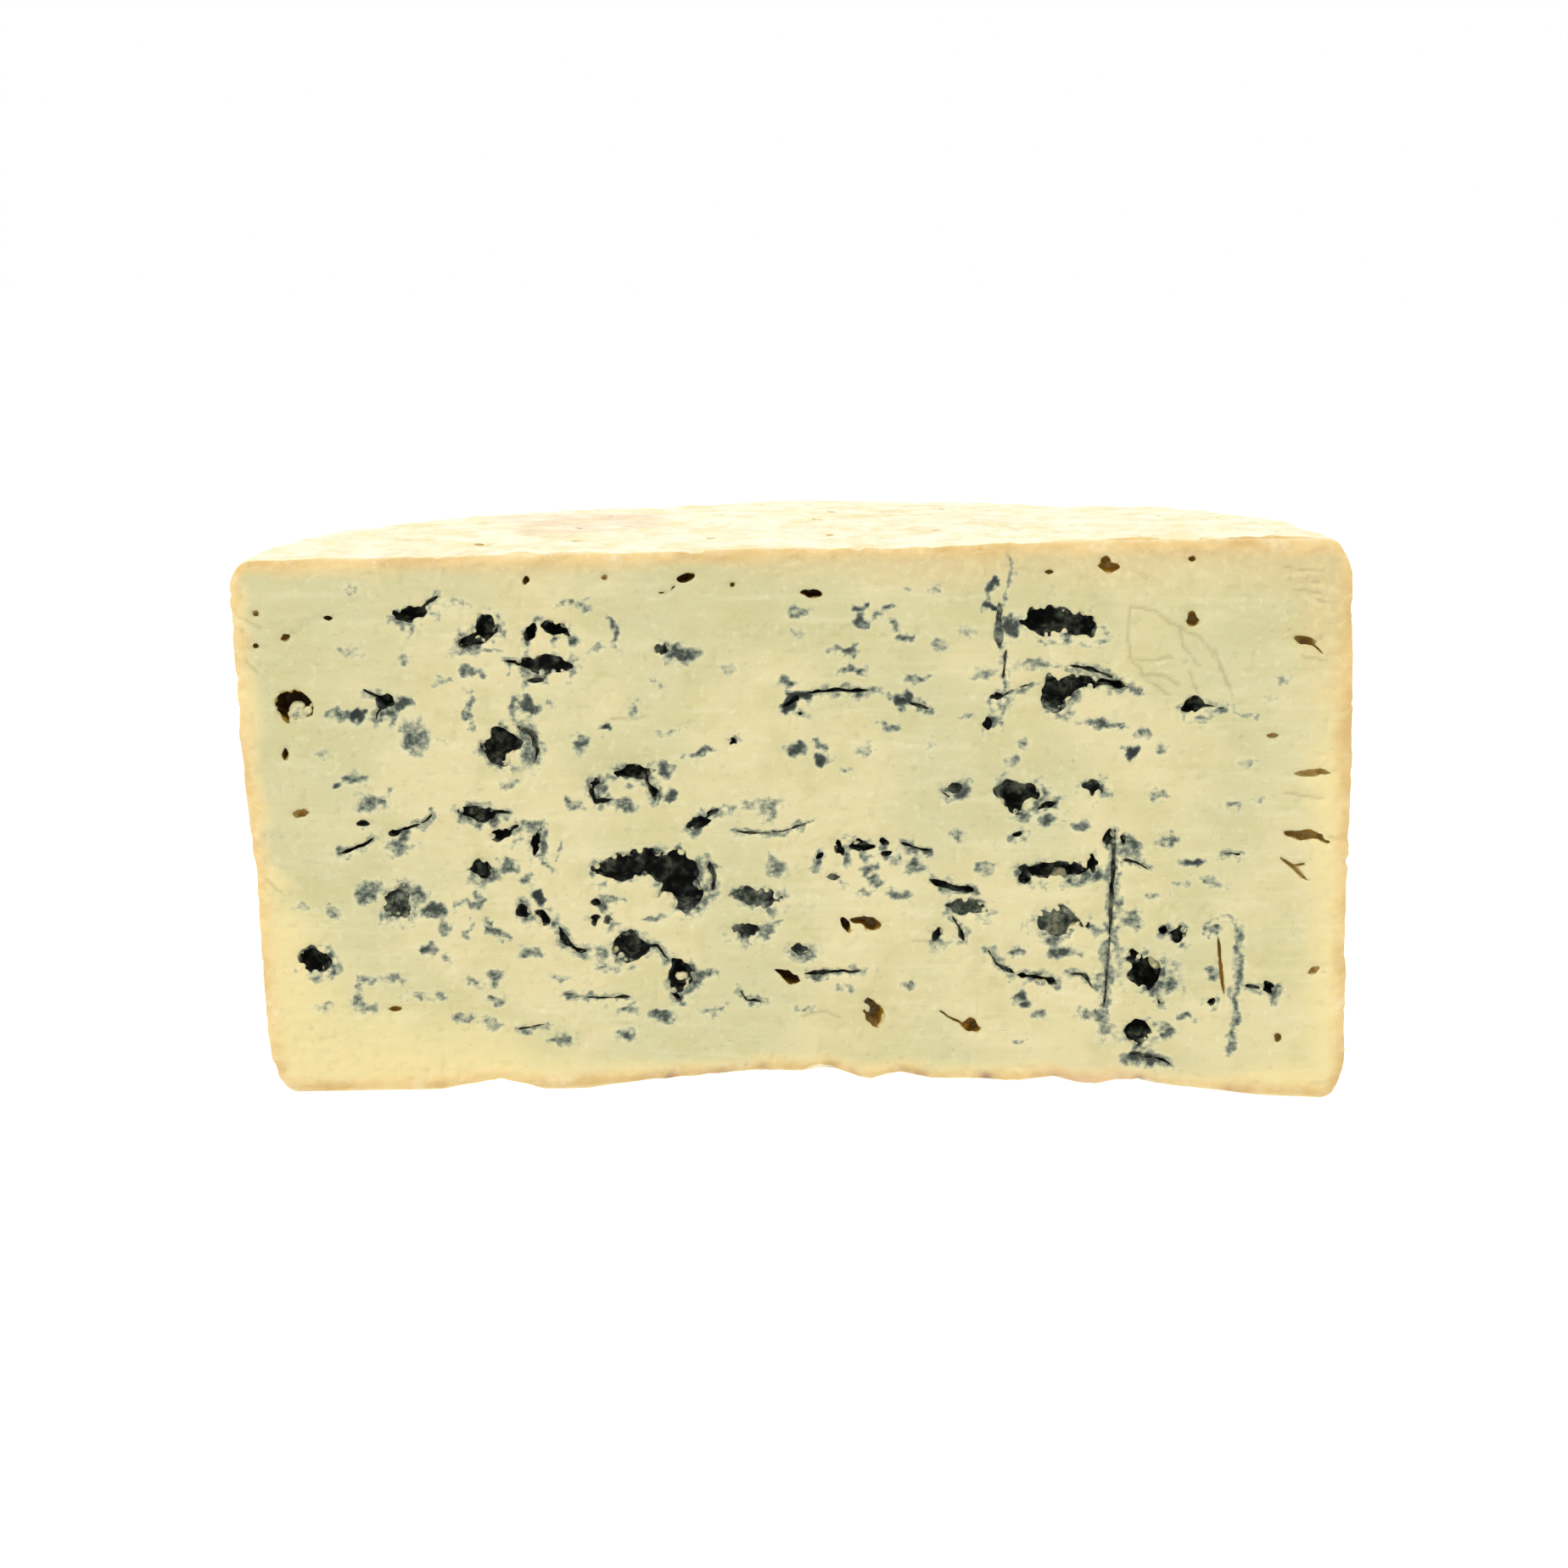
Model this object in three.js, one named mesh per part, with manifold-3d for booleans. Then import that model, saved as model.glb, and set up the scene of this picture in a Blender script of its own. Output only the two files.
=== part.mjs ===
// Half a wheel of blue cheese: a squat wheel, 20 cm across and 10 cm high, cut in two across its middle.
// Millimetres, +Z up. The origin lies on the surface that the cheese stands on, under the middle of its box.
// The cut face looks along -Y. The rind is on the round side, the top and the underside.
//
// A cheese is made as one piece, so it is one mesh: a whole wheel is turned on its profile, bent by the small
// amounts that a soft cheese sags, halved by a straight cut, and opened by the eyes and the needle channels
// that the cut met. Until the last step the cut lies in the plane y = 0.

import * as THREE from "three";
import { mergeVertices } from "three/addons/utils/BufferGeometryUtils.js";
import Module from "manifold-3d";

// ---------------------------------------------------------------------------- driving dimensions

const FOOT_RADIUS = 98.3; // the wheel's radius at its foot
const FLARE = 0.019; // what the radius gains for each millimetre of height
const HEIGHT = 98.4; // on the low side
const SHOULDER_WIDE = 4.5; // the rounded edges between the round side and the two end faces
const SHOULDER_TALL = 8;

const AXIS = 5.4; // where the wheel's axis meets the foot, across the cut face's drawing
const LEAN = -0.043; // how far the axis leans across for each millimetre of height
const TOP_RISE = 5; // how much higher the top is on the high side
const RISE_FROM = -130; // across the cut face, where the top starts to climb
const RISE_TO = 110; // and where it levels out again
const BACK_DIP = [1.6, 3.2]; // how far the top's back edge has sunk, on the low side and on the high side
const DIP_FROM = 15; // across the cut face, where the back edge starts to sink further
const DIP_TO = 80; // and where it is lowest

const HOLLOW_RISE = 4.7; // how high the underside's hollow lifts the foot of the cut face
const HOLLOW_HALF_WIDTH = 92; // along the cut, from the hollow's middle to where it dies out
const HOLLOW_MIDDLE = 5; // where that middle is, across the cut face
const HOLLOW_DEPTH = 32; // how far in from the cut the hollow reaches
const DRAIN_RIPPLE = 0.6; // the bumps that a draining mat leaves in the hollow
const DRAIN_PITCH = 17; // from one such bump to the next

const RIND_LUMP = 0.5; // how far the round side swells and sinks
const RIND_LUMPS_ROUND = 23; // how many such swellings there are round the wheel

const TURN_STEPS = 108; // facets round the whole wheel
const WALL_ROWS = 7; // rows of facets up the straight part of the round side
const RINGS = [14, 28, 42, 56, 70, 84]; // radii of the facet rings on the two end faces

// Eyes: mould-lined openings between the curds. Across and up on the cut face, width, height, tilt in
// degrees and how deep the opening goes. An eye with a ragged outline is two or three of them, run together.
const EYES = [
  [-66.3, 89.0, 6.4, 3.6, 0, 6],
  [-53.4, 86.4, 4.4, 3.8, 20, 6],
  [-40.3, 86.0, 4.8, 2.2, -6, 5],
  [-41.8, 80.3, 8.6, 2.8, 0, 5],
  [-87.8, 72.2, 6.2, 5.4, -15, 6],
  [-50.6, 65.4, 7.4, 6.4, -15, 9],
  [-26.6, 60.3, 6.6, 2.6, 6, 6],
  [-55.2, 52.8, 6.0, 2.4, 6, 4],
  [-54.6, 42.6, 3.8, 3.2, 25, 5],
  [-69.0, 36.4, 5.0, 6.4, 25, 5],
  [-84.7, 25.6, 5.0, 3.6, 0, 7],
  [-28.6, 42.6, 8.0, 4.0, -8, 7],
  [-19.0, 41.0, 8.6, 8.6, 20, 9],
  [-26.8, 28.6, 5.0, 4.2, 0, 6],
  [-19.2, 23.6, 4.2, 5.4, 0, 5],
  [-4.8, 37.8, 8.8, 3.2, -4, 4],
  [-5.6, 31.3, 6.2, 2.6, 8, 4],
  [12.4, 47.1, 7.0, 2.2, 0, 4],
  [14.6, 32.6, 5.4, 2.6, 0, 4],
  [17.0, 15.8, 3.4, 5.4, -15, 7],
  [46.6, 89.2, 7.2, 4.6, 4, 9],
  [51.6, 88.2, 7.6, 4.8, -10, 9],
  [50.4, 76.0, 6.4, 5.2, 25, 8],
  [43.8, 56.2, 7.0, 4.6, -8, 7],
  [50.4, 42.6, 11.0, 3.0, 4, 6],
  [50.8, 33.2, 9.2, 4.6, 0, 4],
  [33.4, 36.8, 7.4, 4.0, -20, 4],
  [72.8, 73.3, 5.0, 3.0, 8, 6],
  [94.6, 49.6, 7.0, 2.2, -8, 4],
  [66.4, 24.2, 6.0, 6.0, -30, 9],
  [72.0, 31.2, 3.8, 3.6, 0, 6],
  [66.0, 12.9, 4.6, 4.2, 0, 5],
];
const EYE_SINK = 0.3; // how far in from the cut an eye's widest place lies, as a share of its depth
const EYE_ROUGHNESS = 0.16; // how far its wall strays from an ellipsoid, as a share of its size

// Channels left by the needles that let air into the wheel, where they ran along the cut: across and up at
// the lower end, then at the upper end, and the width of the groove.
const NEEDLE_CHANNELS = [
  [59.2, 15.0, 60.6, 50.0, 1.6],
  [38.7, 83.2, 38.5, 91.2, 1.9],
  [80.7, 19.8, 79.2, 30.6, 1.6],
];
const CHANNEL_SIDES = 8;
const CHANNEL_SINK = 0.3; // how far in from the cut its middle runs

// ---------------------------------------------------------------------------- solids

const wasm = await Module();
wasm.setup();

// A closed geometry as a solid. Triangles that shrank to a line at a pole are left out.
function solidFrom(geometry) {
  geometry.deleteAttribute("normal");
  geometry.deleteAttribute("uv");
  const merged = mergeVertices(geometry, 1e-3);
  const corners = merged.index.array;
  const kept = [];
  for (let i = 0; i < corners.length; i += 3) {
    const [a, b, c] = corners.slice(i, i + 3);
    if (a !== b && b !== c && c !== a) kept.push(a, b, c);
  }
  return new wasm.Manifold(
    new wasm.Mesh({
      numProp: 3,
      vertProperties: merged.attributes.position.array,
      triVerts: new Uint32Array(kept),
    }),
  );
}

function geometryFrom(solid) {
  const mesh = solid.getMesh();
  const geometry = new THREE.BufferGeometry();
  geometry.setAttribute("position", new THREE.BufferAttribute(mesh.vertProperties, 3));
  geometry.setIndex(new THREE.BufferAttribute(mesh.triVerts, 1));
  return geometry;
}

// Moves every vertex of a geometry to where the function puts it.
function reshape(geometry, place) {
  const position = geometry.attributes.position;
  const point = new THREE.Vector3();
  for (let i = 0; i < position.count; i++) {
    place(point.fromBufferAttribute(position, i));
    position.setXYZ(i, point.x, point.y, point.z);
  }
  return geometry;
}

// ---------------------------------------------------------------------------- the wheel

// Half of the wheel's section, from the axis at the foot round to the axis at the top.
function wheelProfile() {
  const line = new THREE.Path().moveTo(0, 0);
  for (const r of RINGS) line.lineTo(r, 0);
  const side = FOOT_RADIUS - SHOULDER_WIDE;
  line.absellipse(side, SHOULDER_TALL, SHOULDER_WIDE, SHOULDER_TALL, -Math.PI / 2, 0);
  const straight = HEIGHT - 2 * SHOULDER_TALL;
  for (let row = 1; row < WALL_ROWS; row++) {
    line.lineTo(FOOT_RADIUS, SHOULDER_TALL + (straight * row) / WALL_ROWS);
  }
  line.absellipse(side, HEIGHT - SHOULDER_TALL, SHOULDER_WIDE, SHOULDER_TALL, 0, Math.PI / 2);
  for (const r of [...RINGS].reverse()) line.lineTo(r, HEIGHT);
  line.lineTo(0, HEIGHT);
  return line.getPoints(3);
}

// How far the hollow lifts the underside at this place.
function hollowAt(x, y) {
  const across = (x - HOLLOW_MIDDLE) / HOLLOW_HALF_WIDTH;
  const inward = Math.abs(y) / HOLLOW_DEPTH;
  if (Math.abs(across) >= 1 || inward >= 1) return 0;
  const arch = HOLLOW_RISE + DRAIN_RIPPLE * Math.sin((2 * Math.PI * x) / DRAIN_PITCH);
  return arch * (1 - across ** 2) * (1 - inward) ** 2;
}

// How far the top stands above the low side's height at this place.
function topAt(x, y) {
  const climb = TOP_RISE * THREE.MathUtils.smoothstep(x, RISE_FROM, RISE_TO);
  const dip = THREE.MathUtils.lerp(...BACK_DIP, THREE.MathUtils.smoothstep(x, DIP_FROM, DIP_TO));
  return climb - dip * THREE.MathUtils.smoothstep(Math.abs(y), 0.5 * FOOT_RADIUS, FOOT_RADIUS);
}

// Bends the turned wheel as the soft cheese has settled: flared, leaning, uneven on top and hollow below.
function settle(point) {
  const { x, y, z } = point;
  const up = z / HEIGHT;
  const radius = Math.hypot(x, y);
  const lump = RIND_LUMP * Math.sin(Math.PI * up) * Math.sin(RIND_LUMPS_ROUND * Math.atan2(y, x) + 4 * up);
  const edge = THREE.MathUtils.smoothstep(radius, RINGS.at(-1), FOOT_RADIUS);
  const spread = 1 + (FLARE * z + lump * edge) / FOOT_RADIUS;
  const across = AXIS + x * spread + LEAN * z;
  const back = y * spread;
  point.set(across, back, z + topAt(across, back) * up + hollowAt(across, back) * (1 - up));
}

function wheel() {
  const turned = new THREE.LatheGeometry(wheelProfile(), TURN_STEPS).rotateX(Math.PI / 2);
  return solidFrom(reshape(turned, settle));
}

// Everything on the side of the cut that is kept.
function keptSide() {
  const size = 3 * FOOT_RADIUS;
  return solidFrom(new THREE.BoxGeometry(size, size, size).translate(0, size / 2, 0));
}

// ---------------------------------------------------------------------------- eyes and channels

// A lumpy ellipsoid whose widest place lies just behind the cut. Its own place seeds its lumps.
function eye([across, up, width, height, tilt, depth]) {
  const ball = reshape(new THREE.IcosahedronGeometry(1, 1), (p) => {
    const wave = Math.sin(5 * p.x + across) * Math.sin(4 * p.z + up) + 0.6 * Math.sin(7 * p.y + 3 * p.x + up);
    p.multiplyScalar(1 + EYE_ROUGHNESS * wave);
  });
  ball.scale(width / 2, depth, height / 2);
  ball.rotateY(THREE.MathUtils.degToRad(-tilt));
  return solidFrom(ball.translate(across, EYE_SINK * depth, up));
}

function needleChannel([acrossLow, low, acrossHigh, high, width]) {
  const foot = new THREE.Vector3(acrossLow, CHANNEL_SINK, low);
  const head = new THREE.Vector3(acrossHigh, CHANNEL_SINK, high);
  const along = head.clone().sub(foot);
  const rod = new THREE.CylinderGeometry(width / 2, width / 2, along.length(), CHANNEL_SIDES);
  const upright = new THREE.Vector3(0, 1, 0);
  rod.applyQuaternion(new THREE.Quaternion().setFromUnitVectors(upright, along.normalize()));
  const middle = foot.add(head).multiplyScalar(0.5);
  return solidFrom(rod.translate(middle.x, middle.y, middle.z));
}

// ---------------------------------------------------------------------------- the half wheel

function halfWheel() {
  let solid = wheel().intersect(keptSide());
  for (const measures of EYES) solid = solid.subtract(eye(measures));
  for (const measures of NEEDLE_CHANNELS) solid = solid.subtract(needleChannel(measures));
  const geometry = geometryFrom(solid);
  geometry.computeBoundingBox();
  const box = geometry.boundingBox;
  const middle = box.getCenter(new THREE.Vector3());
  return geometry.translate(-middle.x, -middle.y, -box.min.z);
}

const paste = new THREE.MeshStandardMaterial({ color: "#e6dba6", roughness: 0.55, metalness: 0 });

const cheese = new THREE.Mesh(halfWheel(), paste);
cheese.name = "cheese";

const part = new THREE.Group();
part.add(cheese);

export default part;
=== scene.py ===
# %% [markdown]
# # Half a wheel of blue cheese
#
# A small blue cheese is a squat wheel, 20 cm across and 10 cm high. This is half of one, standing on its
# underside, with the straight cut facing -Y. The cut shows what makes it a blue cheese: pale, damp paste,
# ragged eyes between the curds, lined with blue-grey mould, and the straight channels of the needles that
# let the air in. A thin ochre rind runs round the outside.
#
# The lesson makes it as one closed mesh: a half wheel, fine on the cut and coarser on the rind, from which a
# second mesh, the air inside the eyes, is taken away. Every colour then comes from a few values that each
# vertex carries, such as how mouldy it is and how deep in an eye it lies.

# %% Load the frame
import math

import bmesh
import bpy
import numpy as np
import openvdb
from mathutils import Matrix, Vector
from mathutils.geometry import delaunay_2d_cdt


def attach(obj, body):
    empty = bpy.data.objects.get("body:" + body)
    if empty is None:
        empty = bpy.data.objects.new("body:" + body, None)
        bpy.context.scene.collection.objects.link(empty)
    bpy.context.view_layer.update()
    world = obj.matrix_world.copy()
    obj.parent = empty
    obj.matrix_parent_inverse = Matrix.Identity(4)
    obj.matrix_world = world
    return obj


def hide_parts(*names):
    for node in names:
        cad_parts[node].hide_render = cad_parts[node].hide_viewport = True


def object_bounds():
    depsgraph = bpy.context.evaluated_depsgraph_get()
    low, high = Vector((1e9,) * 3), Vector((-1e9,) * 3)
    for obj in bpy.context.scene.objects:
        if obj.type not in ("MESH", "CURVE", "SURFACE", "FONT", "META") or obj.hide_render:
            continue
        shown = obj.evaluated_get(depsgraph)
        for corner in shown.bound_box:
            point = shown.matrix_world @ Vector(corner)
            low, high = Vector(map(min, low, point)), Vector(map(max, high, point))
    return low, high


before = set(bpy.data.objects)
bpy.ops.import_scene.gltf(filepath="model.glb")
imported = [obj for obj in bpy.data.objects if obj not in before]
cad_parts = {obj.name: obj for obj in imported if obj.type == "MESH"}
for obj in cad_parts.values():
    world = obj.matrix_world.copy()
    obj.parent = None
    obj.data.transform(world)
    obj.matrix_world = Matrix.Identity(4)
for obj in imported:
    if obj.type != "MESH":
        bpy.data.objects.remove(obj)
cad_box = [list(corner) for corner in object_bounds()]
print("CAD box in metres:", cad_box)

# %% [markdown]
# ## Working in millimetres
#
# A cheesemaker thinks in millimetres, so the shapes are worked out in them, on a drawing of the cut face:
# `across` from left to right, `up` from the surface it stands on, and `deep` into the cheese from the cut.
# The drawing's zero is placed from the frame's box, so the mesh lands exactly where the solid stands.

# %% The drawing's place in the frame
MM = 0.001
LEFT_EDGE = -98.57  # where the solid's left-most point lies on the drawing
drawing_zero = np.array([cad_box[0][0] - LEFT_EDGE * MM, cad_box[0][1], 0.0])


def to_frame(points_mm):
    """Points on the drawing, in millimetres, as places in the frame, in metres."""
    return np.asarray(points_mm) * MM + drawing_zero


def to_drawing(points_m):
    return (np.asarray(points_m) - drawing_zero) / MM


print("The drawing's zero lies at", drawing_zero)

# %% [markdown]
# ## Noise in three dimensions
#
# Nothing on a cheese is smooth or regular. One kind of noise serves everywhere: a cubic lattice with a random
# value at each corner, blended smoothly in between. `cell` is the lattice's spacing in millimetres, so it is
# the size of the lumps that the noise makes. Every call has its own seed, so each run gives the same cheese.

# %% Lattice noise
LATTICE = 64


def noise(points, cell, seed):
    """Smooth noise from -1 to 1 at each point. `cell` is a size, or one size for each axis."""
    lattice = np.random.default_rng(seed).uniform(-1, 1, LATTICE**3).astype(np.float32)
    scaled = np.asarray(points, dtype=np.float32) / np.asarray(cell, dtype=np.float32)
    corner = np.floor(scaled).astype(np.int32)
    part = scaled - corner
    part = part * part * (3 - 2 * part)
    low = corner & (LATTICE - 1)
    high = (corner + 1) & (LATTICE - 1)
    total = np.zeros(scaled.shape[:-1], dtype=np.float32)
    for pick in range(8):
        index = 0
        weight = 1.0
        for axis in range(3):
            far = (pick >> axis) & 1
            index = index * LATTICE + (high if far else low)[..., axis]
            weight = weight * (part[..., axis] if far else 1 - part[..., axis])
        total += weight * lattice[index]
    return total


def step(low, high, value):
    """0 up to `low`, 1 from `high` on, and a smooth climb between them."""
    t = np.clip((value - low) / (high - low), 0, 1)
    return t * t * (3 - 2 * t)


print("Noise at the drawing's zero:", float(noise(np.zeros((1, 3)), 10, 1)[0]))

# %% [markdown]
# ## The settled wheel
#
# The wheel starts as a turned shape with rounded shoulders. A soft cheese sags as it ages, so it is bent a
# little: it flares and leans, the top climbs to one side and dips at the back, and the foot of the cut has
# lifted into a shallow, rippled hollow. `settle` bends a point of the turned wheel. `rind_depth` goes the
# other way: it says how far below the outside a point of the finished cheese lies.

# %% The wheel's measures
TINY = 1e-6  # keeps divisions away from zero
FOOT_RADIUS = 98.3
HEIGHT = 98.4
SHOULDER_WIDE = 4.5  # the rounded edges between the round side and the two ends
SHOULDER_TALL = 8.0
FLARE = 0.019  # what the radius gains for each millimetre of height
AXIS = 5.4  # where the wheel's axis meets the foot, across the drawing
LEAN = -0.043  # how far the axis leans for each millimetre of height
TOP_RISE = 5.0
RISE_SPAN = (-130, 110)
BACK_DIP = (1.6, 3.2)  # on the low side and on the high side
DIP_SPAN = (15, 80)
HOLLOW_DEPTH = 32.0

# The foot of the cut: across, and how far it stands off the surface.
FOOT_LINE = [
    (-92, 0), (-77, 0.3), (-62, 0.6), (-51, 2.3), (-43, 0.8), (-36, 0.9), (-22, 2.4), (-10, 3.6), (-3, 4.5),
    (4, 4.2), (9, 5.0), (14.5, 3.2), (17, 3.0), (22, 4.2), (28, 2.8), (36, 3.1), (44, 2.3), (50, 3.3),
    (54, 2.3), (58, 2.0), (62, 2.8), (66, 2.7), (71, 2.2), (77, 1.5), (88, 0.5), (102, 0),
]


def hollow_at(across, deep):
    line = np.interp(across, *np.array(FOOT_LINE).T)
    return line * np.clip(1 - deep / HOLLOW_DEPTH, 0, 1) ** 2


def top_at(across, deep):
    low_side, high_side = BACK_DIP
    dip = low_side + (high_side - low_side) * step(*DIP_SPAN, across)
    return TOP_RISE * step(*RISE_SPAN, across) - dip * step(0.5 * FOOT_RADIUS, FOOT_RADIUS, deep)


def settle(turned):
    x, y, z = np.asarray(turned, dtype=float).T
    up = z / HEIGHT
    spread = 1 + FLARE * z / FOOT_RADIUS
    across = AXIS + x * spread + LEAN * z
    deep = y * spread
    height = z + top_at(across, deep) * up + hollow_at(across, deep) * (1 - up)
    return np.stack([across, deep, height], axis=-1)


def rind_depth(points):
    """How far below the outside each point lies. The cut face doesn't count as outside."""
    across, deep, height = np.moveaxis(np.asarray(points, dtype=float), -1, 0)
    foot = hollow_at(across, deep)
    z = HEIGHT * (height - foot) / (HEIGHT + top_at(across, deep) - foot)
    spread = 1 + FLARE * z / FOOT_RADIUS
    radius = np.hypot((across - AXIS - LEAN * z) / spread, deep / spread)
    from_side = FOOT_RADIUS - radius
    from_end = HEIGHT / 2 - np.abs(z - HEIGHT / 2)
    side_share = np.maximum(1 - from_side / SHOULDER_WIDE, 0)
    end_share = np.maximum(1 - from_end / SHOULDER_TALL, 0)
    out = np.maximum(np.hypot(side_share, end_share), TINY)
    in_corner = (1 - out) * np.hypot(side_share * SHOULDER_WIDE, end_share * SHOULDER_TALL) / out
    in_corner = np.where(out > 10 * TINY, in_corner, HEIGHT)
    return np.minimum(in_corner, np.minimum(from_side, from_end))


print("Middle of the cut lies", rind_depth([AXIS, 0, HEIGHT / 2]).round(1), "mm below the rind")

# %% [markdown]
# ## The half wheel's mesh
#
# The eyes are seen on the cut, so the mesh is finest there. The round wall and the cut are built together, as
# rows that climb the wheel's profile: each row is a loop that runs along the cut and back round the arc.
# The two flat ends are filled by Delaunay triangulation, which joins any outline to any points inside it, so
# the fine edge of the cut and the coarser rind can meet without a gap.

# %% Rows up the profile
CUT_STEP = 0.4  # between vertices on the cut
ARC_STEP = 1.2  # and along the round side
CORNER_LENGTH = 1.15 * SHOULDER_TALL  # a rounded edge is a little longer than it is tall


def profile_rows():
    """(radius, height) of each row, from the rim of the underside to the rim of the top."""
    turns = np.linspace(-math.pi / 2, 0, round(CORNER_LENGTH / CUT_STEP) + 1)
    arc = np.stack([np.cos(turns) * SHOULDER_WIDE, np.sin(turns) * SHOULDER_TALL], axis=-1)
    side = FOOT_RADIUS - SHOULDER_WIDE
    walls = np.arange(SHOULDER_TALL + CUT_STEP, HEIGHT - SHOULDER_TALL - CUT_STEP / 2, CUT_STEP)
    low = arc + [side, SHOULDER_TALL]
    wall = np.stack([np.full(len(walls), FOOT_RADIUS), walls], axis=-1)
    high = arc[::-1] * [1, -1] + [side, HEIGHT - SHOULDER_TALL]
    return np.concatenate([low, wall, high])


along_cut = round(2 * FOOT_RADIUS / CUT_STEP)
along_arc = round(math.pi * FOOT_RADIUS / ARC_STEP)
arc_turns = np.linspace(0, math.pi, along_arc + 1)[:-1]
cut_line = np.stack([np.linspace(-1, 1, along_cut + 1)[:-1], np.zeros(along_cut)], axis=-1)
loop = np.concatenate([cut_line, np.stack([np.cos(arc_turns), np.sin(arc_turns)], axis=-1)])
rows = profile_rows()
turned = [np.column_stack([loop * radius, np.full(len(loop), z)]) for radius, z in rows]
around = np.arange(len(loop))
ahead = np.roll(around, -1)
faces = []
for row in range(len(rows) - 1):
    low = row * len(loop)
    high = low + len(loop)
    faces += np.stack([around + low, ahead + low, ahead + high, around + high], axis=-1).tolist()
print(len(rows), "rows of", len(loop), "vertices")

# %% [markdown]
# ### The two ends
#
# A flat end has hundreds of vertices along the cut and far fewer round its arc. Its inner vertices are set
# out in rows that start close together at the cut and grow further apart. The triangulation returns its own
# list of vertices, so those on the outline are matched to the loop's, which joins the end to the wall.

# %% Fill the ends
GAP_GROWTH = 1.15  # from one row of inner vertices to the next
ROW_GAP = 0.9  # between rows, as a share of the gap within a row
OUTLINE_GAP = 0.7  # and between a row's end and the arc


def end_points(radius):
    """Points inside a half disc, close together at the cut and further apart towards the rind."""
    gap = CUT_STEP
    deep = gap
    points = []
    while deep < radius - gap:
        half = math.sqrt(radius**2 - deep**2) - OUTLINE_GAP * gap
        count = max(int(2 * half / gap), 1)
        points += [(x, deep) for x in np.linspace(-half, half, count + 1)]
        gap = min(gap * GAP_GROWTH, ARC_STEP)
        deep += gap * ROW_GAP
    return points


KEEP_INSIDE = 1  # the triangulation keeps the triangles inside the outline
for first, (radius, z), facing_up in ((0, rows[0], False), ((len(rows) - 1) * len(loop), rows[-1], True)):
    inner = end_points(radius)
    outline = (loop * radius).tolist()
    edges = np.stack([around, ahead], axis=-1).tolist()
    flat = [Vector(p) for p in outline + inner]
    places, _, filled, sources, *_ = delaunay_2d_cdt(flat, edges, [], KEEP_INSIDE, TINY)
    offset = sum(len(t) for t in turned)
    number = {}
    extra = []
    for index, source in enumerate(sources):
        if source and source[0] < len(loop):
            number[index] = first + source[0]
        else:
            number[index] = offset + len(extra)
            extra.append((*places[index], z))
    turned.append(np.array(extra))
    for face in filled:
        corners = [number[c] for c in face]
        faces.append(corners if facing_up else corners[::-1])

body_points = settle(np.concatenate(turned))
print(f"Half wheel: {len(body_points)} vertices, {len(faces)} faces")

# %% [markdown]
# ## The eyes
#
# Blue cheese curds are left loose, so gaps stay between them, and the mould grows where air reaches: in the
# gaps and along the needle channels. On the cut the gaps show as ragged, dark openings with thin tails. Near
# the rind there is little air, and the few openings there have bare, amber walls.
#
# Each opening is listed as a maker would mark it on the drawing: where its middle is, half its width and
# height, its tilt and its depth. Tails and cracks are lines with a half width.

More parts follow.
